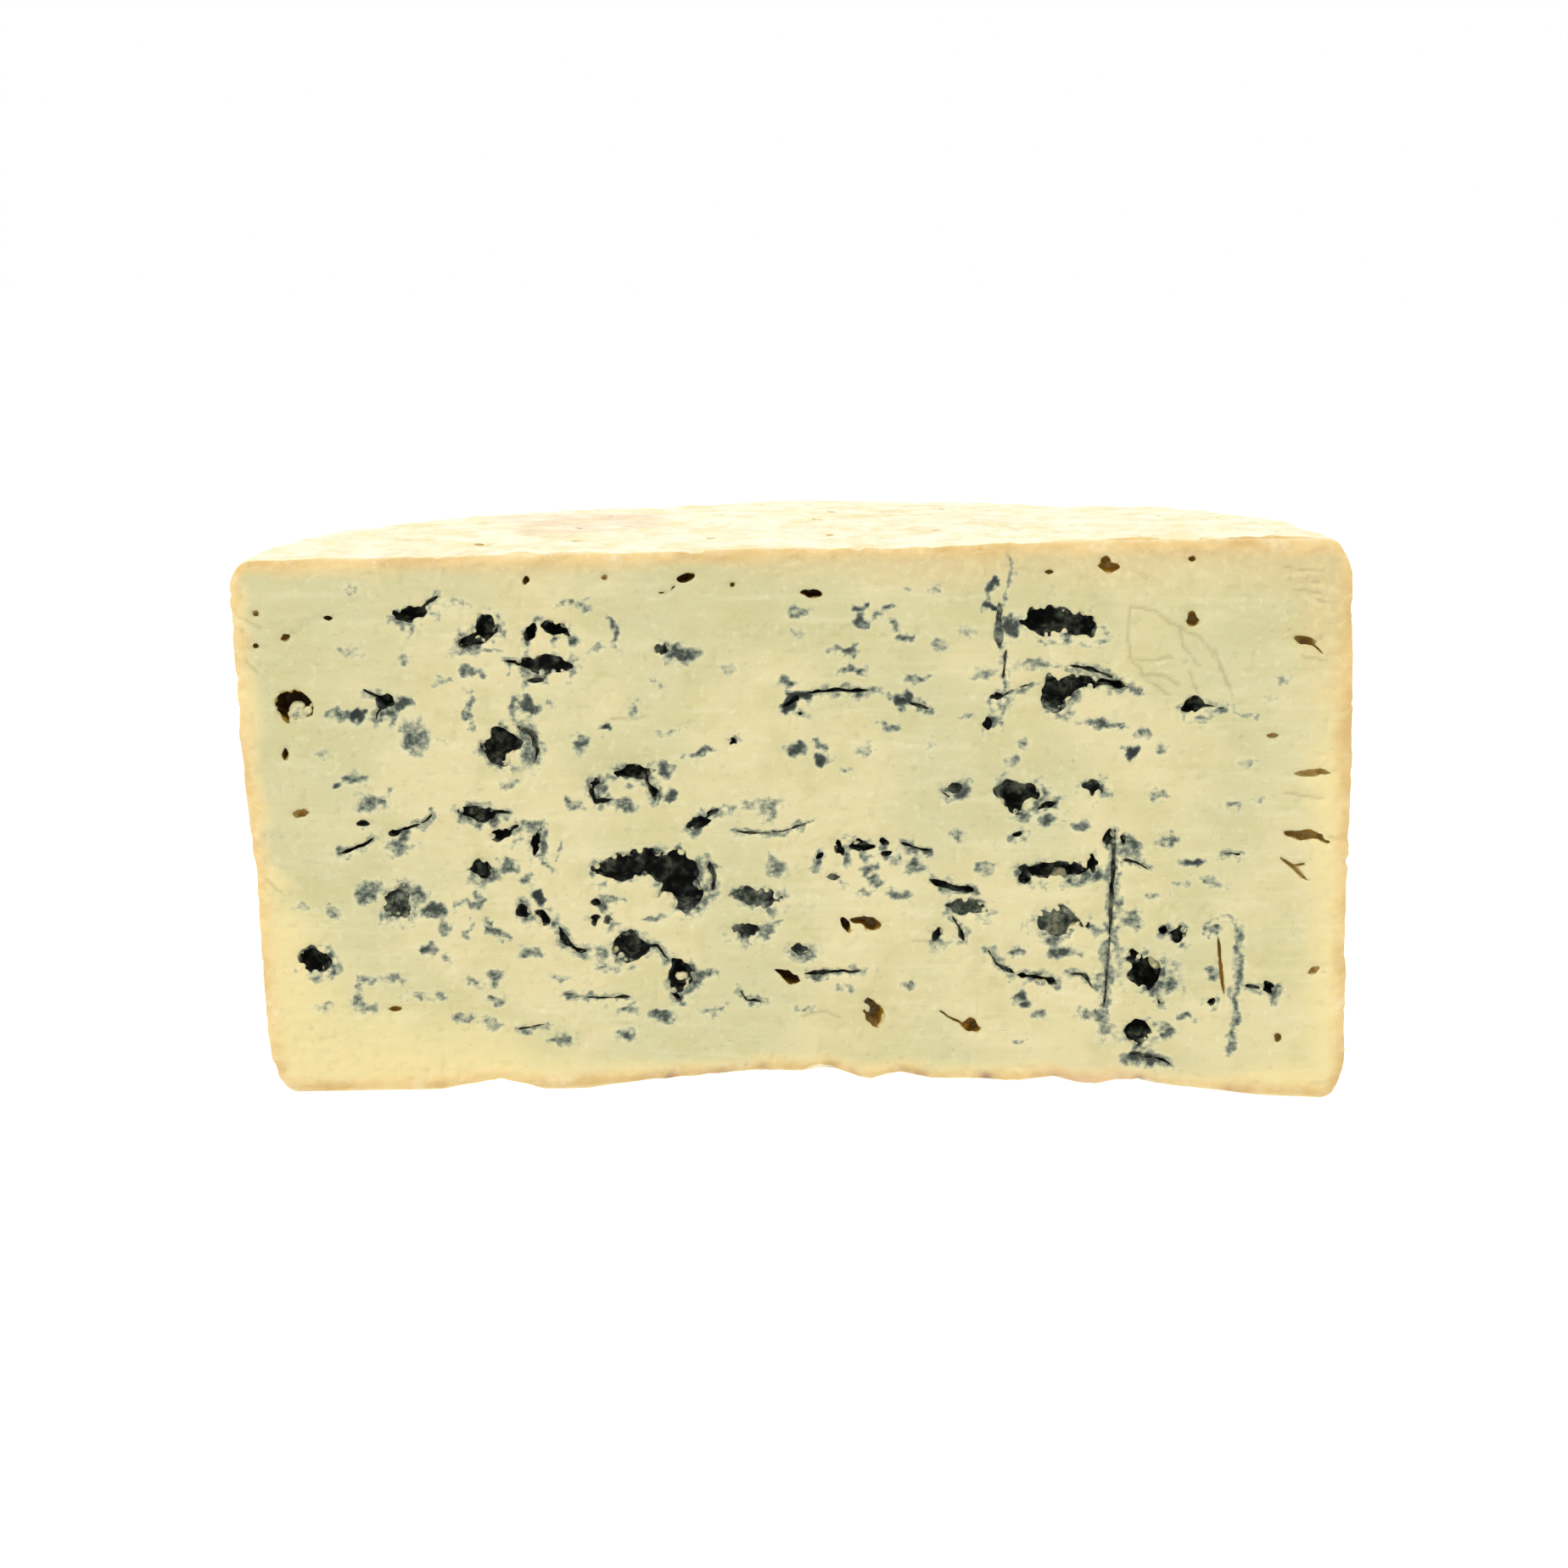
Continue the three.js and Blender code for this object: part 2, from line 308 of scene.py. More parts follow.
# %% Openings with black mould
# across, up, half width, half height, tilt in degrees, depth
BLACK_EYES = [
    (-66.2, 88.8, 3.3, 1.6, 8, 6), (-52.9, 86.4, 2.0, 2.5, -25, 7), (-44.9, 85.6, 1.1, 2.0, -15, 5),
    (-40.2, 86.1, 2.8, 1.3, -14, 5), (-42.3, 80.0, 4.8, 1.7, 0, 5), (-44.0, 77.0, 1.5, 0.5, 0, 3),
    (-70.8, 73.0, 1.9, 1.4, -8, 6), (-50.3, 65.2, 3.7, 3.4, 15, 9), (-26.6, 60.5, 3.6, 1.3, 4, 6),
    (-54.6, 52.6, 3.4, 1.3, -4, 4), (-50.2, 48.8, 2.1, 1.2, 20, 4), (-44.3, 47.2, 0.8, 2.5, -12, 4),
    (-54.3, 42.3, 2.0, 1.8, 30, 5), (-84.7, 25.2, 2.7, 2.2, 0, 7), (-46.6, 34.6, 1.0, 1.6, 20, 3),
    (-43.2, 33.5, 1.8, 1.3, -10, 4), (-33.5, 36.3, 1.0, 0.7, 0, 3), (-33.7, 33.2, 1.0, 1.2, 0, 3),
    (-28.8, 42.4, 5.0, 2.3, 6, 7), (-19.2, 42.2, 5.0, 4.0, 0, 9), (-18.4, 38.6, 4.2, 3.6, 20, 9),
    (-24.0, 45.0, 3.2, 1.3, 0, 6), (-27.2, 28.0, 2.9, 2.4, -12, 6), (-18.5, 22.9, 2.6, 2.9, 12, 6),
    (-14.9, 51.2, 2.2, 1.6, 15, 4), (14.6, 46.8, 2.9, 0.8, 2, 4), (10.6, 46.7, 0.8, 1.6, 10, 4),
    (7.0, 45.3, 0.7, 1.0, -30, 3), (18.5, 47.8, 0.9, 0.7, 0, 3), (19.1, 45.8, 0.9, 0.6, 0, 3),
    (42.8, 56.4, 3.8, 3.0, -14, 7), (48.0, 54.9, 1.8, 0.9, 10, 5), (31.0, 58.0, 1.5, 1.0, 20, 3),
    (47.2, 88.4, 5.0, 2.8, 2, 9), (53.0, 87.5, 3.0, 2.4, -14, 9), (49.0, 75.4, 2.8, 2.9, 35, 8),
    (52.6, 77.2, 3.4, 1.3, 0, 6), (38.5, 74.7, 1.3, 0.8, 0, 3), (37.3, 69.6, 1.0, 1.3, 0, 3),
    (49.6, 42.8, 6.0, 1.5, 2, 6), (56.3, 44.2, 1.0, 1.8, 0, 5), (44.2, 41.4, 1.2, 1.0, 0, 5),
    (64.3, 27.2, 1.1, 1.0, 0, 7), (66.4, 23.6, 3.1, 3.0, 10, 9), (64.8, 26.6, 1.4, 1.5, 0, 8),
    (65.2, 12.8, 2.8, 2.4, 10, 6), (72.1, 30.9, 1.7, 1.6, 0, 6), (69.6, 31.8, 0.9, 0.8, 0, 5),
    (73.6, 73.2, 2.3, 1.4, 12, 6), (89.0, 20.8, 1.1, 1.3, 15, 5), (59.1, 48.7, 0.9, 1.7, 0, 4),
    (-8.7, 66.1, 0.8, 0.8, 0, 3), (-75.3, 50.7, 1.2, 0.6, 0, 3), (-69.8, 49.1, 1.2, 0.7, 10, 3),
    (42.5, 49.4, 1.0, 0.6, 0, 3), (78.6, 18.5, 0.9, 0.8, 0, 3), (-33.6, 58.4, 1.0, 0.8, 0, 3),
]
# Shallower openings, whose walls show through as grey-green felt.
GREY_EYES = [
    (-69.4, 36.4, 2.2, 2.8, -25, 3.4), (-67.9, 34.6, 1.4, 1.8, -20, 4.0), (-4.9, 37.5, 4.5, 1.8, -4, 2.8),
    (-6.1, 31.4, 3.0, 1.3, 4, 2.6), (3.5, 27.7, 1.8, 1.2, 0, 2), (33.5, 36.0, 3.8, 1.4, -6, 3),
    (28.3, 30.6, 1.1, 1.6, -20, 3), (50.6, 33.0, 4.9, 2.5, 0, 3.4), (9.6, 41.2, 1.5, 0.8, 0, 2),
    (55.9, 58.2, 1.8, 1.5, 0, 2.6), (-21.6, 82.8, 1.4, 1.2, 0, 2.4), (-31.4, 33.2, 1.0, 0.9, 0, 2),
]
# Openings near the rind, with bare walls.
BARE_EYES = [
    (-87.6, 72.1, 3.5, 3.1, -16, 7), (-80.8, 88.0, 1.0, 0.6, 0, 3), (-88.5, 84.6, 1.1, 0.7, 20, 2.4),
    (-93.6, 88.7, 0.7, 0.5, 50, 1.5), (-89.1, 63.4, 0.6, 1.2, 0, 3), (-86.5, 52.4, 1.5, 0.9, 10, 1.8),
    (-17.3, 95.6, 1.7, 0.8, 15, 4), (-9.0, 94.3, 0.6, 0.5, 0, 2), (-31.7, 95.5, 0.8, 0.5, 20, 1.4),
    (-45.4, 95.0, 0.6, 0.8, 0, 3), (5.2, 92.8, 1.8, 0.9, -6, 5), (11.8, 32.4, 0.8, 1.5, 20, 4),
    (15.2, 33.2, 2.9, 0.8, -4, 3.4), (16.6, 32.2, 1.4, 1.0, 0, 3.4), (1.3, 22.8, 2.8, 1.1, -24, 5),
    (17.0, 15.9, 1.5, 2.6, 14, 3.6), (34.9, 13.4, 1.7, 1.4, -10, 3.2), (57.7, 97.9, 2.0, 0.9, 0, 2.6),
    (57.4, 98.9, 0.9, 0.9, 0, 2.6), (73.0, 88.8, 1.2, 1.4, 20, 2.6), (93.2, 84.9, 1.8, 1.2, -15, 2.4),
    (88.0, 67.8, 1.1, 0.5, 0, 1.5), (95.3, 61.1, 3.0, 0.7, 3, 1.7), (94.3, 49.5, 3.6, 1.0, -6, 2.6),
    (97.3, 24.3, 1.3, 0.7, 32, 1.8), (91.2, 11.6, 0.8, 0.9, 0, 2), (-70.2, 16.0, 1.2, 0.5, 0, 2),
    (47.3, 97.0, 0.8, 0.5, 0, 2), (72.6, 99.4, 0.7, 0.5, 0, 2), (-93.9, 83.0, 0.6, 0.5, 0, 2),
]
print(len(BLACK_EYES), "black eyes,", len(GREY_EYES), "grey ones and", len(BARE_EYES), "bare ones")

# %% [markdown]
# ### Tails, cracks and needle channels
#
# A gap between two curds is often only a slit, and a big eye usually runs out into one. The needle channels
# are ruler-straight and upright, because the needles are pushed in from the top and the underside.

# %% Slits and channels
# half width, depth, and the points it runs through on the drawing
BLACK_SLITS = [
    (0.6, 4, [(-64.4, 89.6), (-61.2, 92.0)]), (0.45, 3, [(-72, 73.8), (-75, 75.1)]),
    (0.5, 3, [(-71.8, 72), (-72.6, 69.6)]), (1.25, 5, [(-53.4, 85.2), (-57.6, 83.6)]),
    (0.45, 3, [(-45.6, 80), (-49.2, 80.5)]), (0.7, 4, [(-24.3, 59.6), (-23, 57.4), (-22.7, 55.2)]),
    (0.7, 4, [(-33.8, 58.2), (-34.2, 57), (-33.2, 55.2), (-30.1, 55.3)]),
    (0.4, 3, [(-52, 53), (-48.7, 52.8)]), (0.45, 3, [(-50, 49.3), (-47.3, 50.6)]),
    (0.5, 3, [(-43.9, 49.4), (-42.9, 49.9)]),
    (0.9, 4, [(-39.9, 31.4), (-39.1, 29.2), (-37.3, 27.4), (-35.2, 27.2)]),
    (0.8, 5, [(-31, 42.9), (-33.2, 42.8)]), (0.7, 4, [(-25, 28.2), (-22.2, 28.5), (-20.4, 25.8)]),
    (0.5, 3, [(-19.4, 21.6), (-19.6, 19.6), (-18, 17.8)]), (0.7, 4, [(27, 40.8), (31.5, 39.4), (35, 38.8)]),
    (0.8, 4, [(43.2, 23.3), (46.6, 22.8), (50.4, 21.5)]), (0.9, 5, [(54, 77.4), (58, 77.2), (61.2, 76.6)]),
    (0.35, 3, [(68.2, 20.4), (69.4, 17.6)]), (0.35, 3, [(75.4, 73.2), (79.2, 72.6)]),
    (0.5, 3, [(-80, 45), (-77.6, 45.8), (-75.2, 46.7), (-73.3, 48.3)]),
    (0.4, 3, [(-68.8, 49.4), (-65.3, 50.4), (-62.7, 52.4)]),
    (0.4, 3, [(4.6, 75.1), (10, 75.6), (16, 75.3)]), (0.6, 3, [(3, 74.4), (1.2, 72.8), (0.4, 72.4)]),
    (0.4, 3, [(12.6, 47.2), (14, 48.2), (16, 47.4)]), (0.4, 3, [(21.6, 47.8), (24.5, 46.9), (27, 46.3)]),
    (0.5, 3, [(4.6, 23.2), (9.4, 23.6), (14.5, 23.7)]), (0.4, 3, [(29.2, 57.1), (30.4, 56.2)]),
    (0.4, 3, [(39.4, 74.9), (44.6, 77)]), (0.5, 3, [(61.6, 49.4), (61.8, 47.6)]),
]
GREY_SLITS = [
    (0.6, 2, [(37.8, 27.8), (39.2, 25.4), (43, 23.3)]),
    (0.45, 2, [(52.4, 23.6), (55.4, 23.3), (57.2, 20.6)]),
    (0.9, 3, [(-47.2, 68.6), (-44.8, 67.2), (-43.7, 64.6), (-44.8, 61.8)]),
    (0.5, 2, [(-14, 52.4), (-11.3, 53.7)]), (0.45, 2, [(-8.8, 49.8), (-4, 49.3), (1, 49.7), (5.8, 51.8)]),
    (0.35, 2, [(-39.6, 19.2), (-34, 18.4), (-27.2, 18.7)]), (0.35, 2, [(-48, 12.3), (-42.7, 13.5)]),
    (0.4, 2, [(-7.4, 20.1), (-6, 18.2), (-3.3, 17.8)]), (0.5, 3, [(51.6, 80.2), (55.6, 79.5), (59, 78.2)]),
    (0.4, 2, [(61.8, 44.9), (64.4, 44.3), (66.6, 43)]), (0.35, 2, [(80, 46), (83.2, 45.8)]),
    (0.5, 3, [(64, 8.6), (67.6, 7.9), (71.5, 6.6)]), (0.4, 2, [(21, 74.4), (23, 73.2), (26.8, 72.2)]),
    (0.7, 2, [(-13.0, 44), (-12.2, 41.4), (-12.4, 38.6)]), (0.4, 2, [(84.6, 21.5), (88.2, 20.9)]),
    (0.5, 3, [(31.2, 34), (32.6, 31.8), (33.4, 29.4)]), (0.45, 2, [(-71.2, 33.4), (-70, 34.6)]),
    (0.5, 3, [(-66.4, 33.2), (-67.4, 34.4)]), (0.5, 2, [(2.8, 71.4), (3.8, 71.2)]),
]
BARE_SLITS = [
    (0.45, 1.8, [(90.2, 45.4), (92.4, 43.8), (95.4, 41.2)]), (0.4, 1.6, [(92.4, 43.8), (95, 44.4)]),
    (0.35, 2, [(-19, 94.2), (-20, 93), (-22, 92.8)]), (0.3, 2, [(33.4, 13.8), (31, 15), (29, 16.6)]),
    (0.3, 2, [(94.6, 84.2), (96.8, 82.6)]), (0.35, 2, [(97, 48.8), (99.2, 48.2)]),
]
# The same, for the channels: grey ones, then those that stayed bare.
GREY_CHANNELS = [
    (0.55, 2.2, [(60.2, 51), (59.9, 31)]), (0.35, 1.0, [(59.9, 31), (59.2, 17)]),
    (0.35, 1.6, [(39.9, 83), (39.5, 77.6)]), (0.95, 1.3, [(38.7, 83.4), (38.5, 91.4)]),
]
BARE_CHANNELS = [(0.42, 1.8, [(79.5, 30.4), (81, 19.6)])]

# Curds and crumbs that bridge or fill an opening: across, up, how deep its middle lies, radius.
CURD_LUMPS = [
    (-86.4, 70.8, 1.5, 1.7), (-48.3, 62.6, 1.5, 1.6), (-64.6, 86.9, 0.4, 1.3), (-21.9, 41.6, 2.2, 1.5),
    (-20.4, 36.6, 0.6, 1.8), (-18.0, 22.5, 1.8, 1.0), (45.4, 54.3, 1.5, 1.7), (53.5, 31.3, 1.6, 1.6),
    (47.6, 20.9, 1.2, 1.4), (-66.0, 33.6, 0.8, 1.2), (-70.0, 39.6, 0.8, 1.2), (-25.6, 39.9, 1.0, 1.4),
    (-44.2, 33.0, 0.8, 0.9), (68.6, 25.2, 2.6, 1.2), (67.8, 9.6, 0.4, 1.4), (46.2, 60.6, 0.2, 1.0),
    (50.6, 41.2, 3.6, 1.3), (-39.6, 84.6, 1.2, 0.9), (16.9, 48.6, 0.4, 0.8), (52.2, 73.2, 0.6, 1.5),
]
print(len(BLACK_SLITS) + len(GREY_SLITS) + len(BARE_SLITS), "slits,", len(CURD_LUMPS), "lumps of curd")

# %% [markdown]
# ## The air inside the eyes
#
# Openings that run together, taper and hang over are awkward to build from surfaces, and easy as a field: a
# block of small cells behind the cut, each of which knows how far it is from the nearest opening. An opening
# is widest a little way in, which gives its edge an overhang. Before each shape is measured, the cells are
# shaken with noise, which turns its neat ellipse into the ragged gap that curds leave.

# %% An empty block of cells
CELL = 0.3
BLOCK_LOW = np.array([-100.0, -1.5, 0.0])
BLOCK_HIGH = np.array([104.0, 11.0, 105.0])
FAR_FROM_AIR = 2.0  # what a cell holds that no opening comes near
block_shape = np.ceil((BLOCK_HIGH - BLOCK_LOW) / CELL).astype(int)
to_air = np.full(block_shape, FAR_FROM_AIR, dtype=np.float32)  # millimetres; less than zero is air
wall_kind = np.zeros(block_shape, dtype=np.uint8)
BARE, GREY, BLACK, CURD = 0, 1, 2, 3


def cells_between(low, high, margin):
    """The part of the block that reaches a margin beyond two corners: its window and its cells' places."""
    first = np.maximum(((np.array(low) - margin - BLOCK_LOW) / CELL).astype(int), 0)
    last = np.minimum(((np.array(high) + margin - BLOCK_LOW) / CELL).astype(int) + 1, block_shape)
    axes = [BLOCK_LOW[i] + CELL * (np.arange(first[i], last[i]) + 0.5) for i in range(3)]
    window = tuple(slice(a, b) for a, b in zip(first, last))
    return window, np.stack(np.meshgrid(*axes, indexing="ij"), axis=-1)


print("The block is", " x ".join(str(n) for n in block_shape), "cells")

# %% [markdown]
# ### Carving one opening
#
# `carve` opens the cells round one shape. The shape is a function that measures how far out a place lies,
# with 1 at its outline, so `carve` serves for eyes and for slits. The noise that shakes the places has a
# coarse part, which bends the outline, and a fine part, which frays it. Both grow with the opening's size.

# %% Shake and carve
WIDEST = 0.3  # where an opening is widest, as a share of its depth


def shake(points, size, seed):
    """Points moved by noise, further in a large opening than in a small one."""
    moved = []
    for axis in range(3):
        coarse = min(0.36 * size, 1.1) * noise(points, 1.2 + 0.8 * size, seed + axis)
        fine = min(0.30 * size, 0.5) * noise(points, 0.6 + 0.2 * size, seed + 7 + axis)
        moved.append(coarse + fine)
    return points + np.stack(moved, axis=-1)


def carve(low, high, size, seed, depth, spread_at, kind):
    """Opens the block between two corners, where the shape that `spread_at` measures is below 1."""
    window, points = cells_between(low, high, 1.2 + 0.6 * size)
    shaken = shake(points, size, seed)
    inward = (shaken[..., 1] - WIDEST * depth) / ((1 - WIDEST) * depth)
    distance = (np.hypot(spread_at(shaken), inward) - 1) * size
    nearer = distance < to_air[window]
    wall_kind[window][nearer] = kind
    np.minimum(to_air[window], distance, out=to_air[window])


print("A 4 mm eye is widest", WIDEST * 4, "mm behind the cut")

# %% [markdown]
# ### Eyes, slits and channels
#
# An eye is a blunt diamond and not an ellipse, because the corners between round curds are pointed. A slit
# is a line that swells, pinches and tapers towards its ends. The noise eats into both, so each is carved a
# little larger than it is listed. A channel is a slit that hardly strays, because a needle made it.

# %% Carve everything on the lists
POINTED = 1.5  # 2 would give round ends, 1 a diamond
EYE_SHARE = 0.86  # below 1, so that an eye is carved larger than listed
SLIT_SHARE = 0.82
CHANNEL_RAGGED = 0.5


def carve_eye(across, up, half_width, half_height, tilt, depth, kind, seed):
    c, s = math.cos(math.radians(tilt)), math.sin(math.radians(tilt))

    def spread_at(p):
        x, z = p[..., 0] - across, p[..., 2] - up
        along, over = np.abs(x * c + z * s) / half_width, np.abs(z * c - x * s) / half_height
        return EYE_SHARE * (along**POINTED + over**POINTED) ** (1 / POINTED)

    reach = max(half_width, half_height)
    corners = (across - reach, 0, up - reach), (across + reach, depth, up + reach)
    carve(*corners, min(half_width, half_height), seed, depth, spread_at, kind)


def line_distance(flat, line):
    """How far each point is from a line of straight stretches, and how far along it, from 0 to 1."""
    line = np.array(line, dtype=float)
    lengths = np.linalg.norm(np.diff(line, axis=0), axis=-1)
    passed = np.concatenate([[0], np.cumsum(lengths)]) / lengths.sum()
    nearest = np.full(flat.shape[:-1], np.inf)
    place = np.zeros(flat.shape[:-1])
    for a, b, start, end in zip(line[:-1], line[1:], passed[:-1], passed[1:]):
        share = np.clip(((flat - a) @ (b - a)) / ((b - a) @ (b - a)), 0, 1)
        distance = np.linalg.norm(flat - a - share[..., None] * (b - a), axis=-1)
        place = np.where(distance < nearest, start + share * (end - start), place)
        nearest = np.minimum(nearest, distance)
    return nearest, place


def carve_slit(half_width, depth, line, kind, seed, ragged=1.0):
    line = np.array(line, dtype=float)

    def spread_at(p):
        nearest, place = line_distance(p[..., [0, 2]], line)
        swell = 1 + ragged * (0.75 * noise(p, 1.9, seed + 60) - 0.05)
        ends = np.clip(0.35 + 5 * place * (1 - place), 0, 1)
        return nearest / (SLIT_SHARE * half_width * swell * ends)

    low, high = line.min(axis=0) - half_width, line.max(axis=0) + half_width
    carve((low[0], 0, low[1]), (high[0], depth, high[1]), half_width * ragged, seed, depth, spread_at, kind)


openings = [
    (BARE, BARE_EYES, BARE_SLITS, 100),
    (GREY, GREY_EYES, GREY_SLITS, 300),
    (BLACK, BLACK_EYES, BLACK_SLITS, 500),
]
for kind, eyes, slits, first_seed in openings:
    for index, eye in enumerate(eyes):
        carve_eye(*eye, kind, first_seed + index)
    for index, slit in enumerate(slits):
        carve_slit(*slit, kind, first_seed + 100 + index)
for kind, channels, first_seed in ((GREY, GREY_CHANNELS, 800), (BARE, BARE_CHANNELS, 820)):
    for index, channel in enumerate(channels):
        carve_slit(*channel, kind, first_seed + index, ragged=CHANNEL_RAGGED)
print("The block holds", to_air.size, "cells, of which", int((to_air < 0).sum()), "are air")

# %% [markdown]
# ### Curd round the eyes
#
# A close look at an eye shows the curd grains that it lies between: its edge is a row of small round bumps
# with dark notches between them, and now and then a grain stands inside. So a ring of grains is put back
# round the outline of each eye, from half a millimetre to 1.6 mm across, and then the larger lumps.

# %% Put grains and lumps back
GRAIN_GAP = 1.35  # from one grain to the next round an eye
SMALLEST_EYE = 0.8  # half the size of the smallest eye that has grains
BARE_GRAINS = 0.22  # the share of the grains that the mould hasn't reached


def fill(middle, radius, seed, bare):
    """Puts a round grain of curd back into the block."""
    window, points = cells_between(middle - radius, middle + radius, 0.7)
    if radius > 0.8:
        points = shake(points, radius, seed)
    filled = radius - np.linalg.norm(points - middle, axis=-1)
    if bare:
        wall_kind[window][filled > to_air[window] - 0.1] = CURD
    np.maximum(to_air[window], filled, out=to_air[window])


draw = np.random.default_rng(77)
grain_count = 0
for across, up, half_width, half_height, tilt, depth in BLACK_EYES + GREY_EYES + BARE_EYES[:1]:
    size = min(half_width, half_height)
    if size < SMALLEST_EYE:
        continue
    c, s = math.cos(math.radians(tilt)), math.sin(math.radians(tilt))
    ring = math.pi * (half_width + half_height)
    for turn in np.arange(0, 2 * math.pi, 2 * math.pi * GRAIN_GAP / ring):
        turn += draw.uniform(-0.5, 0.5) * GRAIN_GAP / max(size, 1)
        out = draw.uniform(0.86, 1.16)
        x, z = out * half_width * math.cos(turn), out * half_height * math.sin(turn)
        middle = np.array([across + x * c - z * s, draw.uniform(-0.2, 0.45 * depth), up + x * s + z * c])
        fill(middle, draw.uniform(0.25, min(0.38 + 0.16 * size, 0.8)), 0, draw.random() < BARE_GRAINS)
        grain_count += 1
for index, (across, up, deep, radius) in enumerate(CURD_LUMPS):
    fill(np.array([across, deep, up]), radius, 900 + index, True)
to_air[:, 0, :] = 1  # the block's front layer stays closed, so that the air's mesh closes too
print(grain_count, "grains and", len(CURD_LUMPS), "lumps are back")
air_volume = float((to_air < 0).sum()) * CELL**3 / 1000
print(f"The air in the block is {air_volume:.1f} cubic centimetres")

# %% [markdown]
# ## Relief of the rind
#
# The rind has sagged between the shelf's slats, wrinkled as it dried, and has pits where crumbs fell out when
# it was brushed. The relief goes on before the eyes are cut, because it moves the outline of the cut as well.
# It fades out below the rim of the underside, so that the wheel still stands flat.

# %% Relief of the rind
def rind_normal(points):
    """The direction straight out of the cheese at each point, ignoring the cut."""
    reach = 0.05
    slope = [rind_depth(points - reach * axis) - rind_depth(points + reach * axis) for axis in np.eye(3)]
    normal = np.stack(slope, axis=-1)
    return normal / np.maximum(np.linalg.norm(normal, axis=-1, keepdims=True), TINY)


def rind_texture(points):
    """The wrinkles, pebbles and pits of the rind, in millimetres, without the slow sags."""
    warped = points + 1.6 * noise(points, 6, 17)[:, None]
    wrinkles = 0.30 * (0.6 - np.abs(noise(warped, (6.5, 6.5, 2.6), 13)) ** 0.7)
    wrinkles += 0.14 * (0.5 - np.abs(noise(warped, (3.4, 3.4, 1.6), 18)))
    pebbles = 0.12 * noise(warped, 1.9, 14)
    pits = -0.45 * step(0.46, 0.80, noise(warped, (3.4, 3.4, 2.2), 15))
    return wrinkles + pebbles + pits


def rind_height(points):
    """How far the rind stands above or below the settled wheel, in millimetres."""
    sags = 0.55 * noise(points, (26, 26, 18), 11) + 0.30 * noise(points, (9, 9, 6), 12)
    return sags - 0.35 + rind_texture(points)


depth_below = rind_depth(body_points)
normal = rind_normal(body_points)
normal[body_points[:, 1] < TINY, 1] = 0
fade = 1 - step(0, 6, depth_below)
on_stand = body_points[:, 2] < 2
height = rind_height(body_points) * fade * np.where(on_stand, step(0, 2, body_points[:, 2]), 1)
body_points += normal * height[:, None]
print(f"The rind's relief runs from {height.min():.2f} to {height.max():.2f} mm")

# %% [markdown]
# ## Needle holes
#
# The wheel was pierced all over with long needles, so its top and underside have rows of small holes, 22 mm
# apart and about 2 mm wide, flared at the mouth where the needle dragged the rind. Each is a short tapered
# tube, made ring by ring and added to the air that is taken away below.

# %% Tubes in the top and the underside
NEEDLE_SPACING = 22
NEEDLE_SIDES = 14
NEEDLE_REACH = 86  # no hole lies further from the axis than this
# how far outside the surface each ring lies, and its half width as a share of the needle's
NEEDLE_RINGS = [(2.5, 1.5), (0.2, 1.25), (-0.6, 0.95), (-3, 0.8), (-8, 0.55)]


def needle_hole(x, y, width, upward, first, draw):
    """One tube, widest outside the rind. Its vertices are numbered from `first`."""
    surface = HEIGHT + float(top_at(x, y)) if upward == 1 else float(hollow_at(x, y))
    turns = np.arange(NEEDLE_SIDES) * 2 * math.pi / NEEDLE_SIDES
    hole_points, hole_faces = [], []
    for ring, (rise, share) in enumerate(NEEDLE_RINGS):
        wide = width * share * draw.uniform(0.9, 1.1, NEEDLE_SIDES)
        circle = np.stack([x + wide * np.cos(turns), y + wide * np.sin(turns)], axis=-1)
        height = np.full((NEEDLE_SIDES, 1), surface + upward * rise)
        hole_points += np.hstack([circle, height]).tolist()
        if ring:
            low, high = first + ring * NEEDLE_SIDES, first + (ring - 1) * NEEDLE_SIDES
            for side in range(NEEDLE_SIDES):
                after = (side + 1) % NEEDLE_SIDES
                hole_faces.append([low + side, low + after, high + after, high + side][::upward])
    end = first + len(hole_points)
    lid = list(range(first, first + NEEDLE_SIDES))
    base = list(range(end - NEEDLE_SIDES, end))
    return hole_points, hole_faces + [lid[::upward], base[::-upward]]


draw = np.random.default_rng(91)
tube_points, tube_faces = [], []
for upward in (1, -1):
    for across in np.arange(-80, 96, NEEDLE_SPACING):
        for deep in np.arange(20, 92, NEEDLE_SPACING):
            x, y = across + draw.uniform(-3, 3), deep + draw.uniform(-3, 3)
            width = draw.uniform(0.7, 1.05)
            if math.hypot(x - AXIS, y) > NEEDLE_REACH:
                continue
            hole_points, hole_faces = needle_hole(x, y, width, upward, len(tube_points), draw)
            tube_points += hole_points
            tube_faces += hole_faces
print(len(tube_points) // (NEEDLE_SIDES * len(NEEDLE_RINGS)), "needle holes in the top and the underside")

# %% [markdown]
# ## Cutting the eyes out
#
# The block of cells becomes a mesh of the air by taking the surface where its field is zero. A Boolean
# modifier then takes the air from the half wheel. The Manifold solver is exact and quick on closed meshes,
# and the edge that it leaves round each eye is as crisp as a knife leaves it.

# %% Half wheel and air as meshes
def add_mesh(name, points_mm, face_list):
    mesh = bpy.data.meshes.new(name)
    mesh.from_pydata(to_frame(points_mm).tolist(), [], face_list)
    piece = bpy.data.objects.new(name, mesh)
    bpy.context.scene.collection.objects.link(piece)
    return piece


